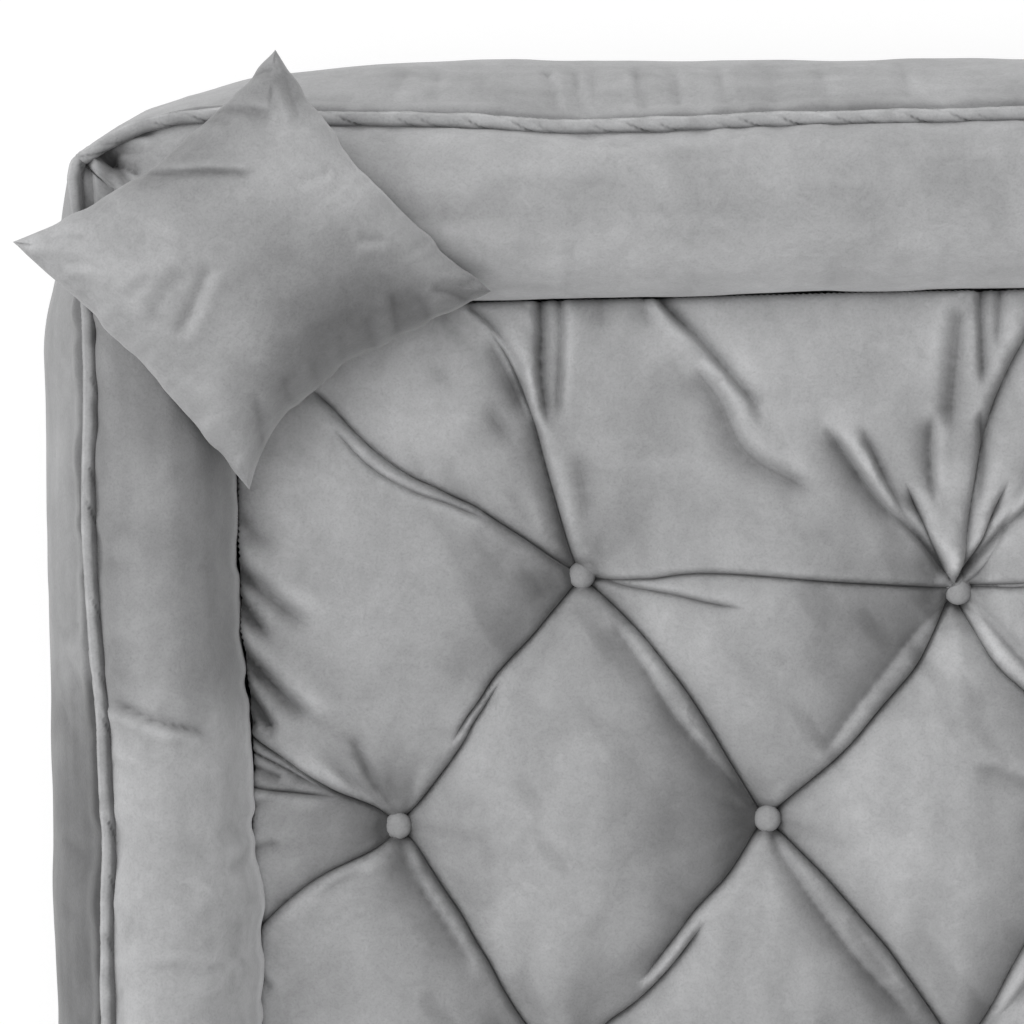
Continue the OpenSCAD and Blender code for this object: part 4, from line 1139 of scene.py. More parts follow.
FOLDS_LOWER = [
    ("390,838 384,844 370,853 349,862 330,871 306,887 284,906 258,932", 11, 24, 4.5, 3.0, 4.5, 1.8, 1),
    ("372,864 349,876 330,887 311,899", 4.5, 4.0, 0, 1),
    ("404,836 414,843 430,868 446,892 463,916 476,941 490,962 503,989 525,1024 545,1048 "
     "572,1068", 17, 27, 5, 3.5, 4.5, 2.4, -1),
    ("402,846 410,866 424,892 441,915 460,942 478,972", 4, 20, 0, 4.5, 4.5, 0, 1),
    ("444,864 482,922", 2.5, 7, 0, 1), ("414,830 440,833 462,836 503,842", 2.6, 6, 0.6, 1),
    ("470,849 544,862", 2.0, 8, 0, 1),
    ("775,828 787,838 805,856 826,877 846,900 867,924 888,948 906,974 923,998 941,1024 "
     "955,1046", 17, 27, 5, 3.5, 4.5, 2.4, -1),
    ("774,838 781,853 799,880 820,912 841,939 861,966 885,989 915,1020", 4, 20, 0, 4.5, 4.5, 0, 1),
    ("844,912 864,948 897,987", 3.0, 6, 0, 1),
    ("761,828 755,835 746,850 728,877 710,895 693,912 678,933 660,956 642,980",
     17, 27, 5, 3.5, 4.5, 1.8, 1),
    ("702,925 684,950 668,970 650,990 630,1008 606,1024 588,1050", 17, 27, 4.5, 3.5, 4.5, 1.4, -1),
    ("778,823 787,826 817,838 860,848", 2.4, 6, 0, 1), ("858,831 915,832", 1.4, 6, 0, 1),
    ("806,1019 873,1022", 2, 7, 0, 1), ("992,1024 1028,990", 2, 7, 0, 1),
]
NO_VALLEY = (0, 1, 0)
FOLD_Z = 146.0
BELOW = 300
UNSEEN_Y = SEAT_MID - 0.62 * PITCH_Y


def mirror_front(path):
    return np.stack([path[:, 0], 2 * SEAT_MID - path[:, 1]], -1)


def strayed(path, seed):
    """A mirrored fold, moved a little except near the tufts."""
    shift = np.stack([noise_at(*path.T, 62.0, layer, 9.0 * seed) for layer in (401, 402)], -1)
    hold = np.min([np.linalg.norm(path - t, axis=1) for t in TUFTS], axis=0)
    return path + 5.5 * shift * smoothstep(hold, 8, 45)[:, None]


def seat_folds():
    """All folds of the cushion in plan. What the picture doesn't show mirrors what it does."""
    folds = []
    for start, table in ((0, FOLDS_UPPER), (BELOW, FOLDS_LOWER)):
        for k, (pixels, *values) in enumerate(table, start + 1):
            values = [*NO_VALLEY, *values][-7:]
            turned = [*values[:6], -values[6]]
            path = traced(pixels, FOLD_Z)
            other = path * MIRROR_X[:2]
            one_sided = path[:, 0].mean() <= -8
            folds.append((path, values, 0))
            if not start:
                folds.append((mirror_front(path), turned, 100 + k))
            if start or one_sided:
                folds.append((other, turned, k))
            if one_sided and not start:
                folds.append((mirror_front(other), values, 200 + k))
    kept = []
    for path, values, seed in folds:
        if 100 < seed < BELOW and path[:, 1].max() > UNSEEN_Y:
            continue
        if seed:
            path = strayed(path, seed)
            values = [*values[:3], values[3] * (1 + 0.25 * math.sin(seed * 2.4)), *values[4:]]
        kept.append((path, values))
    return kept


SEAT_FOLDS = seat_folds()
# Patches of the cushion lighter or darker than the rest: painted light where the pillow shades it, brushed
# pile elsewhere, and small spots of painted shade in the gap beside the arm: the place, its radius and how
# much lighter or darker it is
SEAT_BRUSHED_AND_PAINTED_PATCHES = brushed_and_painted_patches([
    ((402.0, 400.0), 58.0, 0.46), ((318.0, 478.0), 52.0, 0.34), ((370.0, 610.0), 90.0, 0.14),
    ((448.0, 722.0), 34.0, 0.28), ((300.0, 880.0), 34.0, 0.26), ((306.0, 776.0), 20.0, 0.28),
    ((820.0, 415.0), 34.0, 0.22), ((738.0, 378.0), 26.0, 0.24), ((698.0, 340.0), 26.0, 0.2),
    ((945.0, 630.0), 30.0, 0.32), ((982.0, 515.0), 36.0, 0.3), ((898.0, 540.0), 24.0, 0.24),
    ((655.0, 640.0), 26.0, 0.22), ((640.0, 820.0), 44.0, -0.17), ((845.0, 632.0), 42.0, -0.17),
    ((985.0, 650.0), 28.0, 0.3), ((905.0, 862.0), 26.0, 0.2), ((500.0, 350.0), 26.0, 0.12),
    ((266.0, 494.0), 9.0, -0.4), ((266.0, 518.0), 8.0, -0.38), ((267.0, 541.0), 7.0, -0.36),
    ((266.0, 578.0), 7.5, -0.36), ((265.0, 618.0), 7.5, -0.34), ((268.0, 673.0), 7.0, -0.3),
    ((271.0, 711.0), 6.5, -0.3),
], FOLD_Z)
TUFT_REACH, EDGE_REACH, EDGE_BAND = 26, 22, 60
CORNER_CUT = 0.035


def crown(share, power, blunt):
    return np.maximum(0, 1 - np.abs(share) ** power) ** blunt


def held(point):
    """Whether a fold that ends here runs into a tuft or over the cushion's edge."""
    tufted = min(np.linalg.norm(point - t) for t in TUFTS) < TUFT_REACH
    return tufted or abs(point[0]) > SEAT_HW - EDGE_REACH or point[1] > SEAT_REAR - EDGE_REACH


def spread(x, y, folded):
    """The top bulges over its seam until it meets the walls, and draws back from them where it folds."""
    from_side, from_rear = (np.minimum(d, EDGE_BAND) for d in (SEAT_HW - np.abs(x), SEAT_REAR - y))
    share = smoothstep(from_side, 0, 2.4) * (1 - smoothstep(from_side, 6, EDGE_BAND))
    share *= smoothstep(from_rear, 0, 16) * smoothstep(y - SEAT_FRONT, 0, 16)
    new_x = x + np.sign(x) * share * np.maximum(6.2 - np.interp(y, *ARM_RIM.T) - folded, 0)
    share = smoothstep(from_rear, 0, 2.4) * (1 - smoothstep(from_rear, 6, EDGE_BAND))
    share *= smoothstep(from_side, 0, 16)
    new_y = y + share * np.maximum(2.8 + np.interp(x, *BACK_RIM.T) - folded, 0)
    return new_x, new_y


def fold_relief(x, y):
    """What the folds do to the top at places in plan: (valley, crease, slit, pleat)."""
    valley, squares, slit, lip = np.zeros((4, len(x)))
    for path, (deep, reach, gash, cut, half, rise, side) in SEAT_FOLDS:
        near, dist, sign, run, size = polyline_field(x, y, path, 110.0 if deep else 6 * half + 6)
        start = 1.0 if held(path[0]) else smoothstep(run, 0, 16)
        end = 1.0 if held(path[-1]) else smoothstep(size - run, 0, 20)
        ends = start * end
        if deep:
            valley[near] = np.maximum(valley[near], deep * fading(dist, reach))
        # The cloth folds over from the side of the pleat, and slopes down on the other
        width = np.where(sign * side > 0, 0.42 * half, 1.2 * half) if rise and gash else half
        squares[near] += (cut * ends * np.exp(-((dist / width) ** 1.15))) ** 2
        if gash:
            slit[near] = np.maximum(slit[near], gash * np.sqrt(ends) * np.exp(-(dist ** 1.3)))
        if rise:
            lip[near] += rise * ends * hump(dist * sign * side, 1.5 * half, 1.15 * half)
    return valley, np.sqrt(squares), slit, lip


def tuft_relief(x, y):
    """What the tufts do to the top at places in plan: (pit, gathers, streaks in the pile with painted shade
    round each button).
    """
    pit, gather, streak_and_shade = np.zeros((3, len(x)))
    for k, t in enumerate(TUFTS):
        dx, dy = x - t[0], y - t[1]
        r, a = np.hypot(dx, dy), np.arctan2(dy, dx)
        pit = np.maximum(pit, PIT_SHOWN * fading(r, 36.0))
        pleats = noise_at(np.cos(a) * 4.6, np.sin(a) * 4.6, 1.0, 411, k * 3.0 + 0.012 * r)
        gather += pleats * 2.6 * hump(r, 17.0, 14.0)
        rays = noise_at(np.cos(a) * 5.5, np.sin(a) * 5.5, 1.0, 412, k * 3.0 + 0.008 * r)
        # Radial streaks in the pile, and a ring of painted shade round the button
        streak_and_shade += 0.13 * rays * smoothstep(r, 12, 22) * fading(r, 55.0) - 0.36 * hump(r, 9.0, 4.5)
    return pit, gather, streak_and_shade


def seat_surface(x, y):
    """Height of the tufted top at places in plan, its pile tone with painted light and shade, and how far
    its folds draw it in.
    """
    u, v = np.clip(x / SEAT_HW, -1, 1), np.clip((y - SEAT_MID) / SEAT_HD, -1, 1)
    edge = crown(u, 120, 0.22) * np.where(v > 0, crown(v, 96, 0.22), crown(v, 10, 0.45))
    valley, crease, slit, lip = fold_relief(x, y)
    pit, gather, streak_and_shade = tuft_relief(x, y)
    soft = 1.6 * noise_at(x, y, 95.0, 421) + 0.7 * noise_at(x, y, 38.0, 422)
    soft += 0.25 * noise_at(x, y, 17.0, 423)
    calm = np.clip(edge, 0, 1) ** 0.5
    top = SEAM_Z + CLOTH + edge * (CROWN - valley - pit) + calm * (lip + gather + soft - crease - slit)
    # Painted shade in the tufts' pits, the valleys, slits and creases, and a painted highlight on the
    # pleats' ridges, both stronger near the edges
    from_side, from_rear = SEAT_HW - np.abs(x), SEAT_REAR - y
    by_rim = np.clip(fading(from_side, 45.0) + fading(from_rear, 45.0), 0, 1)
    flat_part = 0.35 + 0.65 * smoothstep(edge, 0.55, 0.92)
    pile_and_painted_light = -0.30 * pit / PIT_SHOWN - 0.003 * valley - 0.1 * slit + streak_and_shade
    pile_and_painted_light += flat_part * (-(0.05 + 0.025 * by_rim) * crease + (0.062 + 0.03 * by_rim) * lip)
    # A painted highlight in a band along the rear, painted shade right at the rear edge under the back, and
    # the patches of painted light and brushed pile
    pile_and_painted_light += 0.18 * hump(from_rear, 24.0, 30.0) - 0.3 * hump(from_rear, 0, 5.0)
    # Painted shade beside the arm's full part, deeper in the creases there
    beside_arm = smoothstep(y, -45.0, 5.0) * (1 - smoothstep(y, 180.0, 215.0))
    pile_and_painted_light -= 0.28 * beside_arm * hump(from_side, 0, 21.0)
    pile_and_painted_light -= 0.07 * beside_arm * flat_part * crease * hump(from_side, 0, 18.0)
    return top, pile_and_painted_light + brushed_and_painted_tone(x, y, SEAT_BRUSHED_AND_PAINTED_PATCHES), np.minimum(0.25 * crease, 1.8)


# The cushion's mesh: a frame along its edges, rows of points along its folds, a scatter between them
FRAME_INSETS = (0, 0.7, 1.8, 3.4, 5.6, 8.4, 12, 16.5, 22, 28)
FRAME_STEP, ROW_STEP, FILL_STEP = 4.2, 2.3, 4.4
SLIT_ROWS, NARROW_ROWS, WIDE_ROWS = (0.75, 1.7, 3.2, 5.4), (1.6, 3.6, 6.0), (3.5,)
EDGE_CLEAR, FRAME_WIDTH = 0.7, 30


class Scatter:
    """Points in plan that keep clear of each other, and the lines to keep between them."""

    def __init__(self):
        self.cells, self.points, self.edges = {}, [], []

    def place(self, q, apart):
        """Adds a point unless another lies nearer than apart. Returns its number, or None."""
        x, y = q
        reach = int(apart) + 1
        ix, iy = int(math.floor(x)), int(math.floor(y))
        for jx in range(ix - reach, ix + reach + 1):
            for jy in range(iy - reach, iy + reach + 1):
                for k in self.cells.get((jx, jy), ()):
                    if (self.points[k][0] - x) ** 2 + (self.points[k][1] - y) ** 2 < apart * apart:
                        return None
        self.cells.setdefault((ix, iy), []).append(len(self.points))
        self.points.append((x, y))
        return len(self.points) - 1

    def place_row(self, row, apart, joined):
        """Adds a row of points, clear of the cushion's edge. Neighbours are joined if joined is true."""
        last = None
        for q in row:
            inside = abs(q[0]) < SEAT_HW - EDGE_CLEAR and abs(q[1] - SEAT_MID) < SEAT_HD - EDGE_CLEAR
            index = self.place(q, apart) if inside else None
            if joined and index is not None and last is not None:
                self.edges.append((last, index))
            last = index

    def place_frame(self):
        low, high = np.array([-SEAT_HW, SEAT_FRONT]), np.array([SEAT_HW, SEAT_REAR])
        for inset in FRAME_INSETS:
            a, b = low + inset, high - inset
            corners = np.array([(a[0], a[1]), (b[0], a[1]), (b[0], b[1]), (a[0], b[1]), (a[0], a[1])])
            for c, d in zip(corners[:-1], corners[1:]):
                count = int(np.linalg.norm(d - c) / FRAME_STEP)
                for k in range(count):
                    self.place(c + (d - c) * k / count, 0.0 if inset == 0 else 0.6 if inset < 2 else 1.3)
            if inset == 0:
                n = len(self.points)
                self.edges += [(k, (k + 1) % n) for k in range(n)]


def fold_rows():
    """For each fold its line, the steps to the side of it and how far to the side it has rows."""
    rows = []
    for path, (_, _, gash, _, half, _, _) in SEAT_FOLDS:
        line, _ = resampled(path, ROW_STEP)
        offsets = SLIT_ROWS if gash else NARROW_ROWS if half < 5.5 else WIDE_ROWS
        rows.append((line, -beside(line), offsets, bool(gash)))
    return sorted(rows, key=lambda row: not row[3])


def seat_plan():
    """The top's mesh in plan: its points, its triangles and its rim in order."""
    scatter = Scatter()
    scatter.place_frame()
    rows = fold_rows()
    for line, _, _, sharp in rows:
        scatter.place_row(line, 0.8, sharp)
    for level in range(len(SLIT_ROWS)):
        for line, aside, offsets, _ in rows:
            for offset in offsets[level:level + 1]:
                apart = 0.6 if offset < 1 else 0.95 if offset < 2.5 else 1.5
                for side in (-1, 1):
                    scatter.place_row(line + aside * side * offset, apart, False)
    low, high = FRAME_WIDTH, FRAME_WIDTH - 1
    for i, y in enumerate(np.arange(SEAT_FRONT + low, SEAT_REAR - high, FILL_STEP * 0.866)):
        for x in np.arange(-SEAT_HW + low + (i % 2) * FILL_STEP / 2, SEAT_HW - high, FILL_STEP):
            scatter.place((x, y), 2.5)
    result = delaunay_2d_cdt([Vector(q) for q in scatter.points], scatter.edges, [], 0, 1e-5, False)
    xy = np.array([tuple(q) for q in result[0]])
    faces = np.array([f for f in result[2] if len(f) == 3])
    centred = xy - (0, SEAT_MID)
    on_rim = np.where((np.abs(np.abs(centred) - (SEAT_HW, SEAT_HD)) < 1e-3).any(1))[0]
    angle = np.arctan2(centred[on_rim, 1] / SEAT_HD, centred[on_rim, 0] / SEAT_HW)
    return xy, faces, on_rim[np.argsort(angle)]


def boxing_rings(rim):
    """Rings of points down the side band, from the top's rim to the bottom, one per height."""
    steps = np.roll(rim, -1, 0) - np.roll(rim, 1, 0)
    out = unit(np.stack([steps[:, 1], -steps[:, 0]], -1))
    s, front = run_along(rim), smoothstep(-rim[:, 1], -SEAT_FRONT - 4, -SEAT_FRONT - 0.5)
    h = np.concatenate([
        [SEAM_Z + 0.7, SEAM_Z, SEAM_Z - 0.8], np.linspace(SEAM_Z - 2.5, SEAT_Z + 4, 16),
        [SEAT_Z + 2.4, SEAT_Z + 1.2, SEAT_Z + 0.4, SEAT_Z],
    ])[:, None]
    t = (h - SEAT_Z) / (SEAM_Z - SEAT_Z)
    bow = (0.8 + 2.9 * front) * np.sin(np.pi * np.clip(t, 0, 1)) ** 0.6
    seam = -1.6 * fading(np.abs(h - SEAM_Z), 1.2) - 1.4 * fading(np.abs(h - SEAT_Z - 1.2), 1.2)
    pucker = 0.7 * noise_at(s, t * 14.0, 13.0, 431) * (fading(t, 0.2) + fading(1 - t, 0.2))
    lumps = 0.8 * noise_at(s, t * 60.0, 75.0, 432) * np.sin(np.pi * np.clip(t, 0, 1))
    tuck = -1.0 * (h <= SEAT_Z)
    bulge = bow + seam + np.minimum(pucker + lumps, 0.9) + tuck
    rings = rim + out * bulge[..., None]
    return flat_points(rings[..., 0], rings[..., 1], h)


def seat_pile_and_painted_light(points, facing):
    """Brushed marks all over, with painted shade where the top faces the right and painted light where it
    faces the left.
    """
    brushed = 0.06 * noise(points, 70.0, 441) + 0.07 * noise(points * np.array([1.0, 0.4, 1.0]), 16.0, 442)
    drawn = points[:, :2] @ np.array([[0.8, 0.25], [0.6, -0.19]])
    marks = noise_at(*drawn.T, 13.0, 443)
    brushed -= 0.14 * smoothstep(marks, 0.25, 0.7) * smoothstep(noise(points, 85.0, 444), -0.1, 0.35)
    # Painted light and shade by facing: lighter on slopes that face the left, darker on those that face the
    # right
    lean = 0.25 * np.maximum(-facing[:, 0], 0) - 0.95 * np.maximum(facing[:, 0], 0)
    return brushed + lean * np.maximum(facing[:, 2], 0)


def add_seat():
    xy, top_faces, rim = seat_plan()
    x, y = xy.T
    u, v = x / SEAT_HW, (y - SEAT_MID) / SEAT_HD
    cut = np.abs(u * v) ** 8 * CORNER_CUT * SEAT_HW
    top_z, pile_and_painted_light, folded = seat_surface(x, y)
    out_x, out_y = spread(x, y, folded)
    top = np.stack([out_x - u * cut, out_y - v * cut, top_z], -1)
    boxing = boxing_rings(top[rim, :2])
    points = np.vstack([top, boxing.reshape(-1, 3)])
    below = len(top) + np.arange(boxing.shape[0] * boxing.shape[1]).reshape(boxing.shape[:2])
    rings = np.vstack([rim, below])
    a, b = rings[:-1], rings[1:]
    side = np.stack([b, np.roll(b, -1, 1), np.roll(a, -1, 1), a], -1).reshape(-1, 4)
    ab, ac = (xy[top_faces[:, k]] - xy[top_faces[:, 0]] for k in (1, 2))
    up = ab[:, 0] * ac[:, 1] - ab[:, 1] * ac[:, 0] > 0
    top_faces = np.where(up[:, None], top_faces, top_faces[:, ::-1])
    obj = add_piece("seat_cushion", points, [top_faces, side, rings[-1, ::-1]], velvet, "seat")
    obj.data.materials.append(deck_cloth)
    obj.data.polygons[-1].material_index = 1
    facing = soft_normals(points, [top_faces, side], 5)
    lay_pile_and_painted_light(obj, np.append(pile_and_painted_light, np.zeros(below.size)) + seat_pile_and_painted_light(points, facing))
    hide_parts("seat_top_panel", "seat_boxing", "seat_bottom_panel", "seat_wadding", "seat_foam_core")


add_seat()


# Covered buttons
BUTTON_R, BUTTON_CONE, BUTTON_Z, BUTTON_DOME = 9.5, 13.7, 118.6, 5.0
BUTTON_SIDES, BUTTON_GATHERS = 56, 13
BUTTON_STEM = [(1.0, 0.0), (3.4, 4.2), (6.2, 9.2), (8.3, 12.6), (9.2, 13.9), (9.5, 14.7), (9.5, 15.4)]


def add_buttons():
    """Domed discs whose cloth is gathered in behind the rim."""
    rim_z = BUTTON_CONE + 1.9
    dome = [(BUTTON_R * math.cos(t), rim_z + BUTTON_DOME * math.sin(t)) for t in np.linspace(0.12, 1.5, 12)]
    radius, height = np.array(BUTTON_STEM + dome).T[..., None]
    a = 2 * np.pi * np.arange(BUTTON_SIDES) / BUTTON_SIDES
    points, quads, fans = [], [], []
    for k, (tuft_x, tuft_y) in enumerate(TUFTS):
        turn = 1.7 * k
        under = smoothstep(-height, -14.5, -9.0)
        r = radius * (1 - 0.10 * under * (0.5 + 0.5 * np.cos(BUTTON_GATHERS * a + turn)))
        dimple = 0.18 * noise_at(np.cos(a) * radius, np.sin(a) * radius, 4.0, 441, k * 20.0) * (height > 15)
        x, y = r * np.cos(a), r * np.sin(a)
        z = BUTTON_Z + height + dimple + x * 0.05 * math.sin(turn) + y * 0.05 * math.cos(turn * 1.3)
        new_quads, new_fans = tube_faces(len(radius), BUTTON_SIDES, sum(len(p) for p in points))
        quads.append(new_quads)
        fans.append(new_fans)
        points.append(np.stack([tuft_x + x, tuft_y + y, z], -1).reshape(-1, 3))
        points.append([(tuft_x, tuft_y, BUTTON_Z), (tuft_x, tuft_y, BUTTON_Z + rim_z + BUTTON_DOME)])
    points, faces = np.vstack(points), [np.vstack(quads), np.vstack(fans)]
    obj = add_piece("covered_buttons", points, faces, velvet, "seat")
    facing = soft_normals(points, faces, 1)
    # Painted shade: a little darker all over, more on the side facing the right and on the steep sides
    lay_pile_and_painted_light(obj, -0.08 - 0.5 * np.maximum(facing[:, 0], 0) - 0.25 * (1 - np.abs(facing[:, 2])))
    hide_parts("tuft_buttons")


add_buttons()


# Throw pillow
PILLOW_T = 76.0
PILLOW_Z = WALL_H + PILLOW_T * 0.357
PILLOW_TOP = 325.0
PILLOW_POINTS, RIM_HALF = 161, 0.5
PILLOW_CORNERS = {
    (1, 1): (-459.0, 450.0), (-1, 1): (-635.6, 325.4), (-1, -1): (-485.0, 158.4), (1, -1): (-318.9, 289.9),
}
# How far the middle of each side pulls in, in shares of half the side
PULL = {"right": 0.10, "left": 0.065, "far": 0.135, "near": 0.235}
# Soft folds of its upper panel: a path in the picture, depth, half width, side of the fold
PILLOW_CREASES = [
    ("272,66 258,70 243,76", 1.8, 2.2, 1), ("196,112 220,108 246,110 274,118", 2.6, 3.4, 1),
    ("190,121 214,118 232,124", 1.6, 3.0, -1), ("142,172 180,175 220,174 256,177", 3.0, 2.4, 1),
    ("170,106 190,98 214,100", 1.4, 3.0, 1), ("150,328 158,300 176,280 192,274", 1.3, 5.0, 1),
    ("172,338 190,312 200,285 210,266", 2.6, 4.0, -1), ("128,300 140,286 152,276", 0.9, 4.0, 1),
    ("395,345 393,318 389,287", 2.0, 3.4, 1), ("372,352 366,330 364,312", 1.4, 3.0, -1),
    ("342,366 336,346 338,328", 1.2, 3.0, 1), ("314,384 308,366 306,352", 1.2, 3.0, 1),
    ("284,400 280,386 280,372", 1.6, 3.0, -1),
    ("428,318 422,302 414,290", 1.6, 3.0, -1), ("256,462 254,430 250,390", 2.6, 3.2, -1),
    ("470,296 452,288 430,284", 2.4, 3.0, 1), ("40,240 62,236 86,240", 0.9, 3.0, 1),
    ("60,262 84,262 104,270", 0.6, 3.0, -1), ("285,76 290,96 300,118", 1.6, 3.0, -1),
    ("330,168 318,176 300,180", 1.4, 3.0, 1), ("386,236 372,238 356,236", 1.6, 3.0, 1),
]
# Patches of painted light and painted shade on the pillow's upper panel: place in the picture, radius, how
# much lighter
PILLOW_PAINTED_PATCHES = brushed_and_painted_patches([
    ((432.0, 246.0), 26.0, 0.34), ((372.0, 176.0), 26.0, 0.2), ((222.0, 400.0), 24.0, 0.24),
    ((256.0, 88.0), 20.0, -0.2), ((242.0, 345.0), 20.0, 0.12),
], PILLOW_TOP)


def pillow_plan(u, v):
    """Places in plan of shares of the pillow's width and depth. Its sides pull in between the corners."""
    pull_u = np.where(u > 0, PULL["right"], PULL["left"])
    pull_v = np.where(v > 0, PULL["far"], PULL["near"] * (1 - 0.5 * u))
    ripple_u = 0.016 * noise_at(v * 8.0, np.sign(u) * 4.0, 1.0, 507) * (1 - v ** 4)
    ripple_v = 0.016 * noise_at(u * 8.0, np.sign(v) * 9.0, 1.0, 507) * (1 - u ** 4)
    su = u * (1 - (pull_u * (1 - v * v) + ripple_u) * np.abs(u) ** 1.5)
    sv = v * (1 - (pull_v * (1 - u * u) + ripple_v) * np.abs(v) ** 1.5)
    place = sum(
        np.array(corner) * ((1 + a * su) * (1 + b * sv) / 4)[..., None]
        for (a, b), corner in PILLOW_CORNERS.items()
    )
    away = place - np.mean(list(PILLOW_CORNERS.values()), axis=0)
    blunt = 0.6 * (np.abs(u * v) ** 14)[..., None]
    return place - blunt * away / np.linalg.norm(away, axis=-1, keepdims=True).clip(1)


def pillow_puckers(u, v, near_edge, seeds):
    """How the cloth puckers along the seam."""
    beside_u = np.abs(u) > np.abs(v)
    along = np.where(beside_u, v, u)
    which = np.where(beside_u, np.sign(u) * 3.0, np.sign(v) * 7.0)
    pucker = noise_at(along * 9.0, near_edge * 2.0, 1.0, seeds[0], which)
    pucker += 0.6 * noise_at(along * 19.0, near_edge * 3.0, 1.0, seeds[1], which)
    return 2.6 * pucker * fading(near_edge, 0.16) * smoothstep(near_edge, 0, 0.035)


def pillow_surface(u, v, upper):
    """Points of the upper or the lower panel, and how deep its creases cut."""
    place = pillow_plan(u, v)
    # It fills out more on the side that hangs over the cushion
    full = 0.42 - 0.14 * smoothstep(-v, 0.0, 1.0)
    h = PILLOW_T * np.maximum(0, 1 - u * u) ** 0.42 * np.maximum(0, 1 - v * v) ** full
    down = np.maximum(0, (1 - v) / 2)
    hang = -54.0 * down ** 1.6 - 24.0 * (1 - u * u) * down * down
    near_edge = 1 - np.maximum(np.abs(u), np.abs(v))
    lumps = 2.2 * noise_at(u, v, 0.55, 503) + 0.8 * noise_at(u, v, 0.24, 504)
    d = pillow_puckers(u, v, near_edge, (501, 505) if upper else (502, 506))
    d += lumps * smoothstep(near_edge, 0.02, 0.3)
    cuts = np.zeros_like(u)
    for pixels, depth, width, fold in PILLOW_CREASES if upper else ():
        path = traced(pixels, PILLOW_TOP)
        near, cut = crease_depth(place[..., 0], place[..., 1], path, 1.3 * depth, width, fold)
        cuts[near] += cut
    d -= cuts * smoothstep(near_edge, 0, 0.05)
    z = PILLOW_Z + hang + (0.75 * h + d if upper else -0.25 * h - 0.5 * d)
    return np.concatenate([place, z[..., None]], -1), cuts


def pillow_pile_and_painted_light(u, v, top, cuts):
    """Painted light and shade on the upper panel: lighter towards both ends across u, darker over the near
    side and along the far side, with painted patches and painted shade in the creases.
    """
    pile_and_painted_light = 0.2 * smoothstep(-u, -0.1, 0.9) + 0.22 * smoothstep(u, 0.2, 0.9) * smoothstep(v, -0.5, 0.1)
    pile_and_painted_light -= 0.3 * smoothstep(-v, 0.2, 0.7) * smoothstep(u, -0.95, -0.6)
    pile_and_painted_light += brushed_and_painted_tone(top[..., 0], top[..., 1], PILLOW_PAINTED_PATCHES)
    return pile_and_painted_light - 0.26 * smoothstep(v, 0.35, 0.9) * smoothstep(u, -0.9, 0.0) - 0.05 * cuts


def add_pillow():
    n = PILLOW_POINTS
    share = np.sin(np.pi / 2 * np.linspace(-1, 1, n))
    u, v = np.meshgrid(share, share, indexing="ij")
    (top, cuts), (low, _) = (pillow_surface(u, v, upper) for upper in (True, False))
    rim = np.maximum(np.abs(u), np.abs(v)) > 0.9999
    top[rim, 2] += RIM_HALF
    low[rim, 2] -= RIM_HALF
    points = np.vstack([top.reshape(-1, 3), low.reshape(-1, 3)])
    number = np.arange(n * n).reshape(n, n)
    edge = np.concatenate([number[:, 0], number[-1, 1:], number[-2::-1, -1], number[0, -2:0:-1]])
    after = np.roll(edge, -1)
    band = np.stack([edge + n * n, after + n * n, after, edge], -1)
    panels = [grid_quads(n, n, closed=False)[:, ::-1], grid_quads(n, n, n * n, closed=False)]
    obj = add_piece("throw_pillow", points, [*panels, band], pillow_velvet, "pillow")
    facing = soft_normals(points, panels, 3)
    # Painted shade where the panels face the right and the near side
    lean = (-0.12 * np.maximum(facing[:, 0], 0) - 0.4 * np.maximum(-facing[:, 1], 0)) * np.abs(facing[:, 2])
    brushed = 0.1 * noise(points, 75.0, 511) + 0.05 * noise(points, 19.0, 512)
    brushed += 0.03 * noise(points, 8.0, 513)
    brushed[:n * n] += pillow_pile_and_painted_light(u, v, top, cuts).reshape(-1)
    lay_pile_and_painted_light(obj, lean + brushed)
    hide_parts("pillow_front_panel", "pillow_back_panel", "pillow_fill")


add_pillow()

# CAD pieces that stay
KEPT_NODES = {
    "zip_slider": zip_metal, "zip_pull": zip_metal,
    "tuft_twine": twine, "twine_anchors": anchor_plastic,
}
for node, material in KEPT_NODES.items():
    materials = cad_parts[node].data.materials
    materials.clear()
    materials.append(material)

# Light and floor
KEY_AZ, KEY_EL, KEY_LEVEL, KEY_ANGLE, AMBIENT = 150.0, 57.0, 0.42, 84.0, 0.6
FLOOR_HALF, FLOOR_Z = 12.0, -0.0008


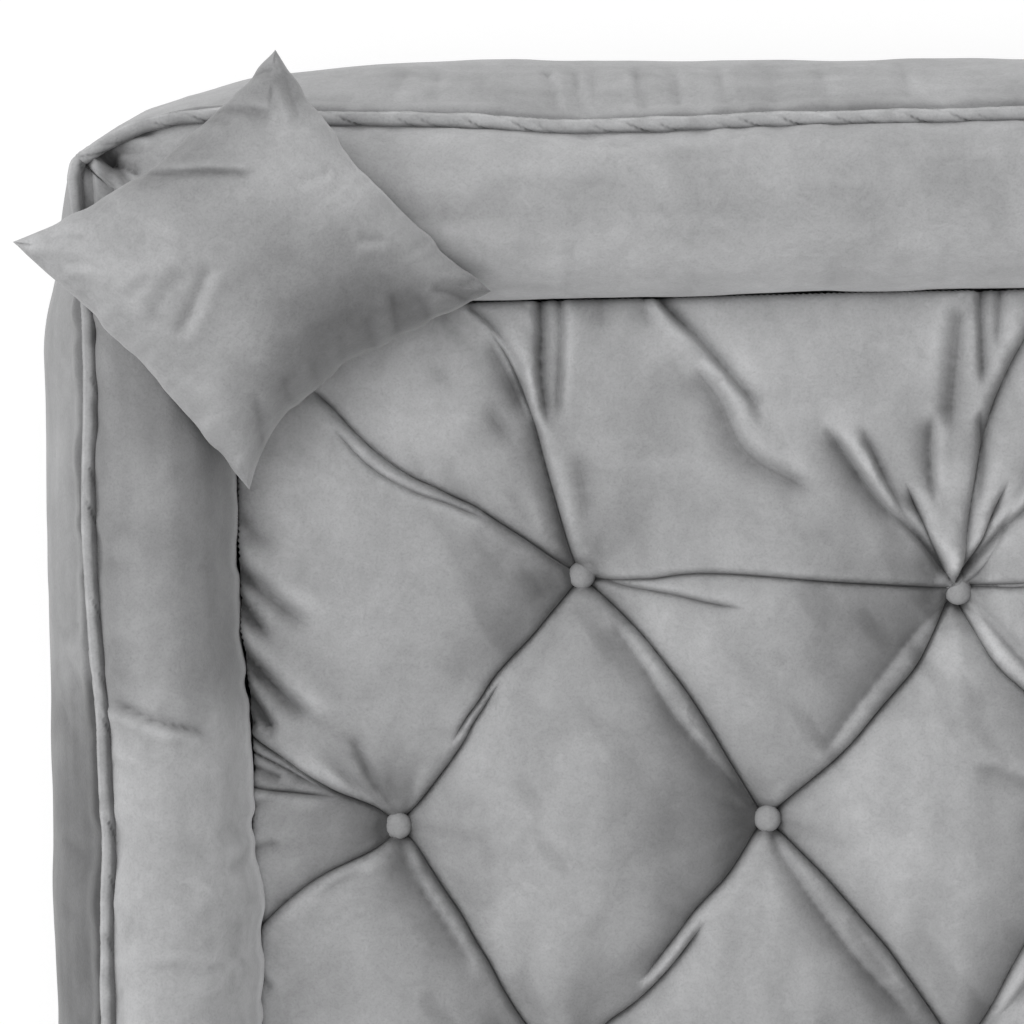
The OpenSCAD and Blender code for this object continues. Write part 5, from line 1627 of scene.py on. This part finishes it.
def add_key():
    """A soft sun that adds KEY_LEVEL to what a level white surface shows."""
    azimuth, elevation = math.radians(KEY_AZ), math.radians(KEY_EL)
    lamp = bpy.data.lights.new("key", "SUN")
    lamp.energy = KEY_LEVEL * math.pi / math.sin(elevation)
    lamp.angle = math.radians(KEY_ANGLE)
    obj = bpy.data.objects.new("key", lamp)
    level = math.cos(elevation)
    towards = Vector((level * math.cos(azimuth), level * math.sin(azimuth), math.sin(elevation)))
    obj.rotation_euler = towards.to_track_quat("Z", "Y").to_euler()
    scene.collection.objects.link(obj)


def node_tree_of(owner):
    owner.use_nodes = True
    owner.node_tree.nodes.clear()
    return owner.node_tree


def grey_node(tree, kind, level, inputs=()):
    return node_of(tree, kind, {"Color": (level, level, level, 1), **dict(inputs)}).outputs[0]


def shown_to_camera(tree, output, lit, shown):
    """Lights the scene with one shader, and shows the other to camera, glossy and transmission rays."""
    rays = node_of(tree, "LightPath").outputs
    seen = rays["Is Camera Ray"]
    for kind in ("Is Glossy Ray", "Is Transmission Ray"):
        seen = node_of(tree, "Math", {0: seen, 1: rays[kind]}, operation="MAXIMUM").outputs[0]
    mix = node_of(tree, "MixShader", {"Fac": seen, 1: lit, 2: shown})
    node_of(tree, output, {"Surface": mix.outputs[0]})


def make_world():
    world = bpy.data.worlds.new("studio")
    tree = node_tree_of(world)
    ambient, white = (grey_node(tree, "Background", 1, {"Strength": level}) for level in (AMBIENT, 1.0))
    shown_to_camera(tree, "OutputWorld", ambient, white)
    scene.world = world


def make_floor():
    """White to the camera except where the part shades it, and grey to the light that bounces."""
    mesh = bpy.data.meshes.new("floor")
    corners = [(-1, -1), (1, -1), (1, 1), (-1, 1)]
    mesh.from_pydata([(x * FLOOR_HALF, y * FLOOR_HALF, FLOOR_Z) for x, y in corners], [], [(0, 1, 2, 3)])
    material = bpy.data.materials.new("floor")
    tree = node_tree_of(material)
    plain, shadowed = (grey_node(tree, "BsdfDiffuse", level) for level in (0.6, 0.3))
    glow = grey_node(tree, "Emission", 1, {"Strength": 0.74})
    white = node_of(tree, "AddShader", {0: shadowed, 1: glow}).outputs[0]
    shown_to_camera(tree, "OutputMaterial", plain, white)
    mesh.materials.append(material)
    floor = bpy.data.objects.new("floor", mesh)
    scene.collection.objects.link(floor)


add_key()
make_world()
make_floor()
scene.view_settings.view_transform = "Standard"
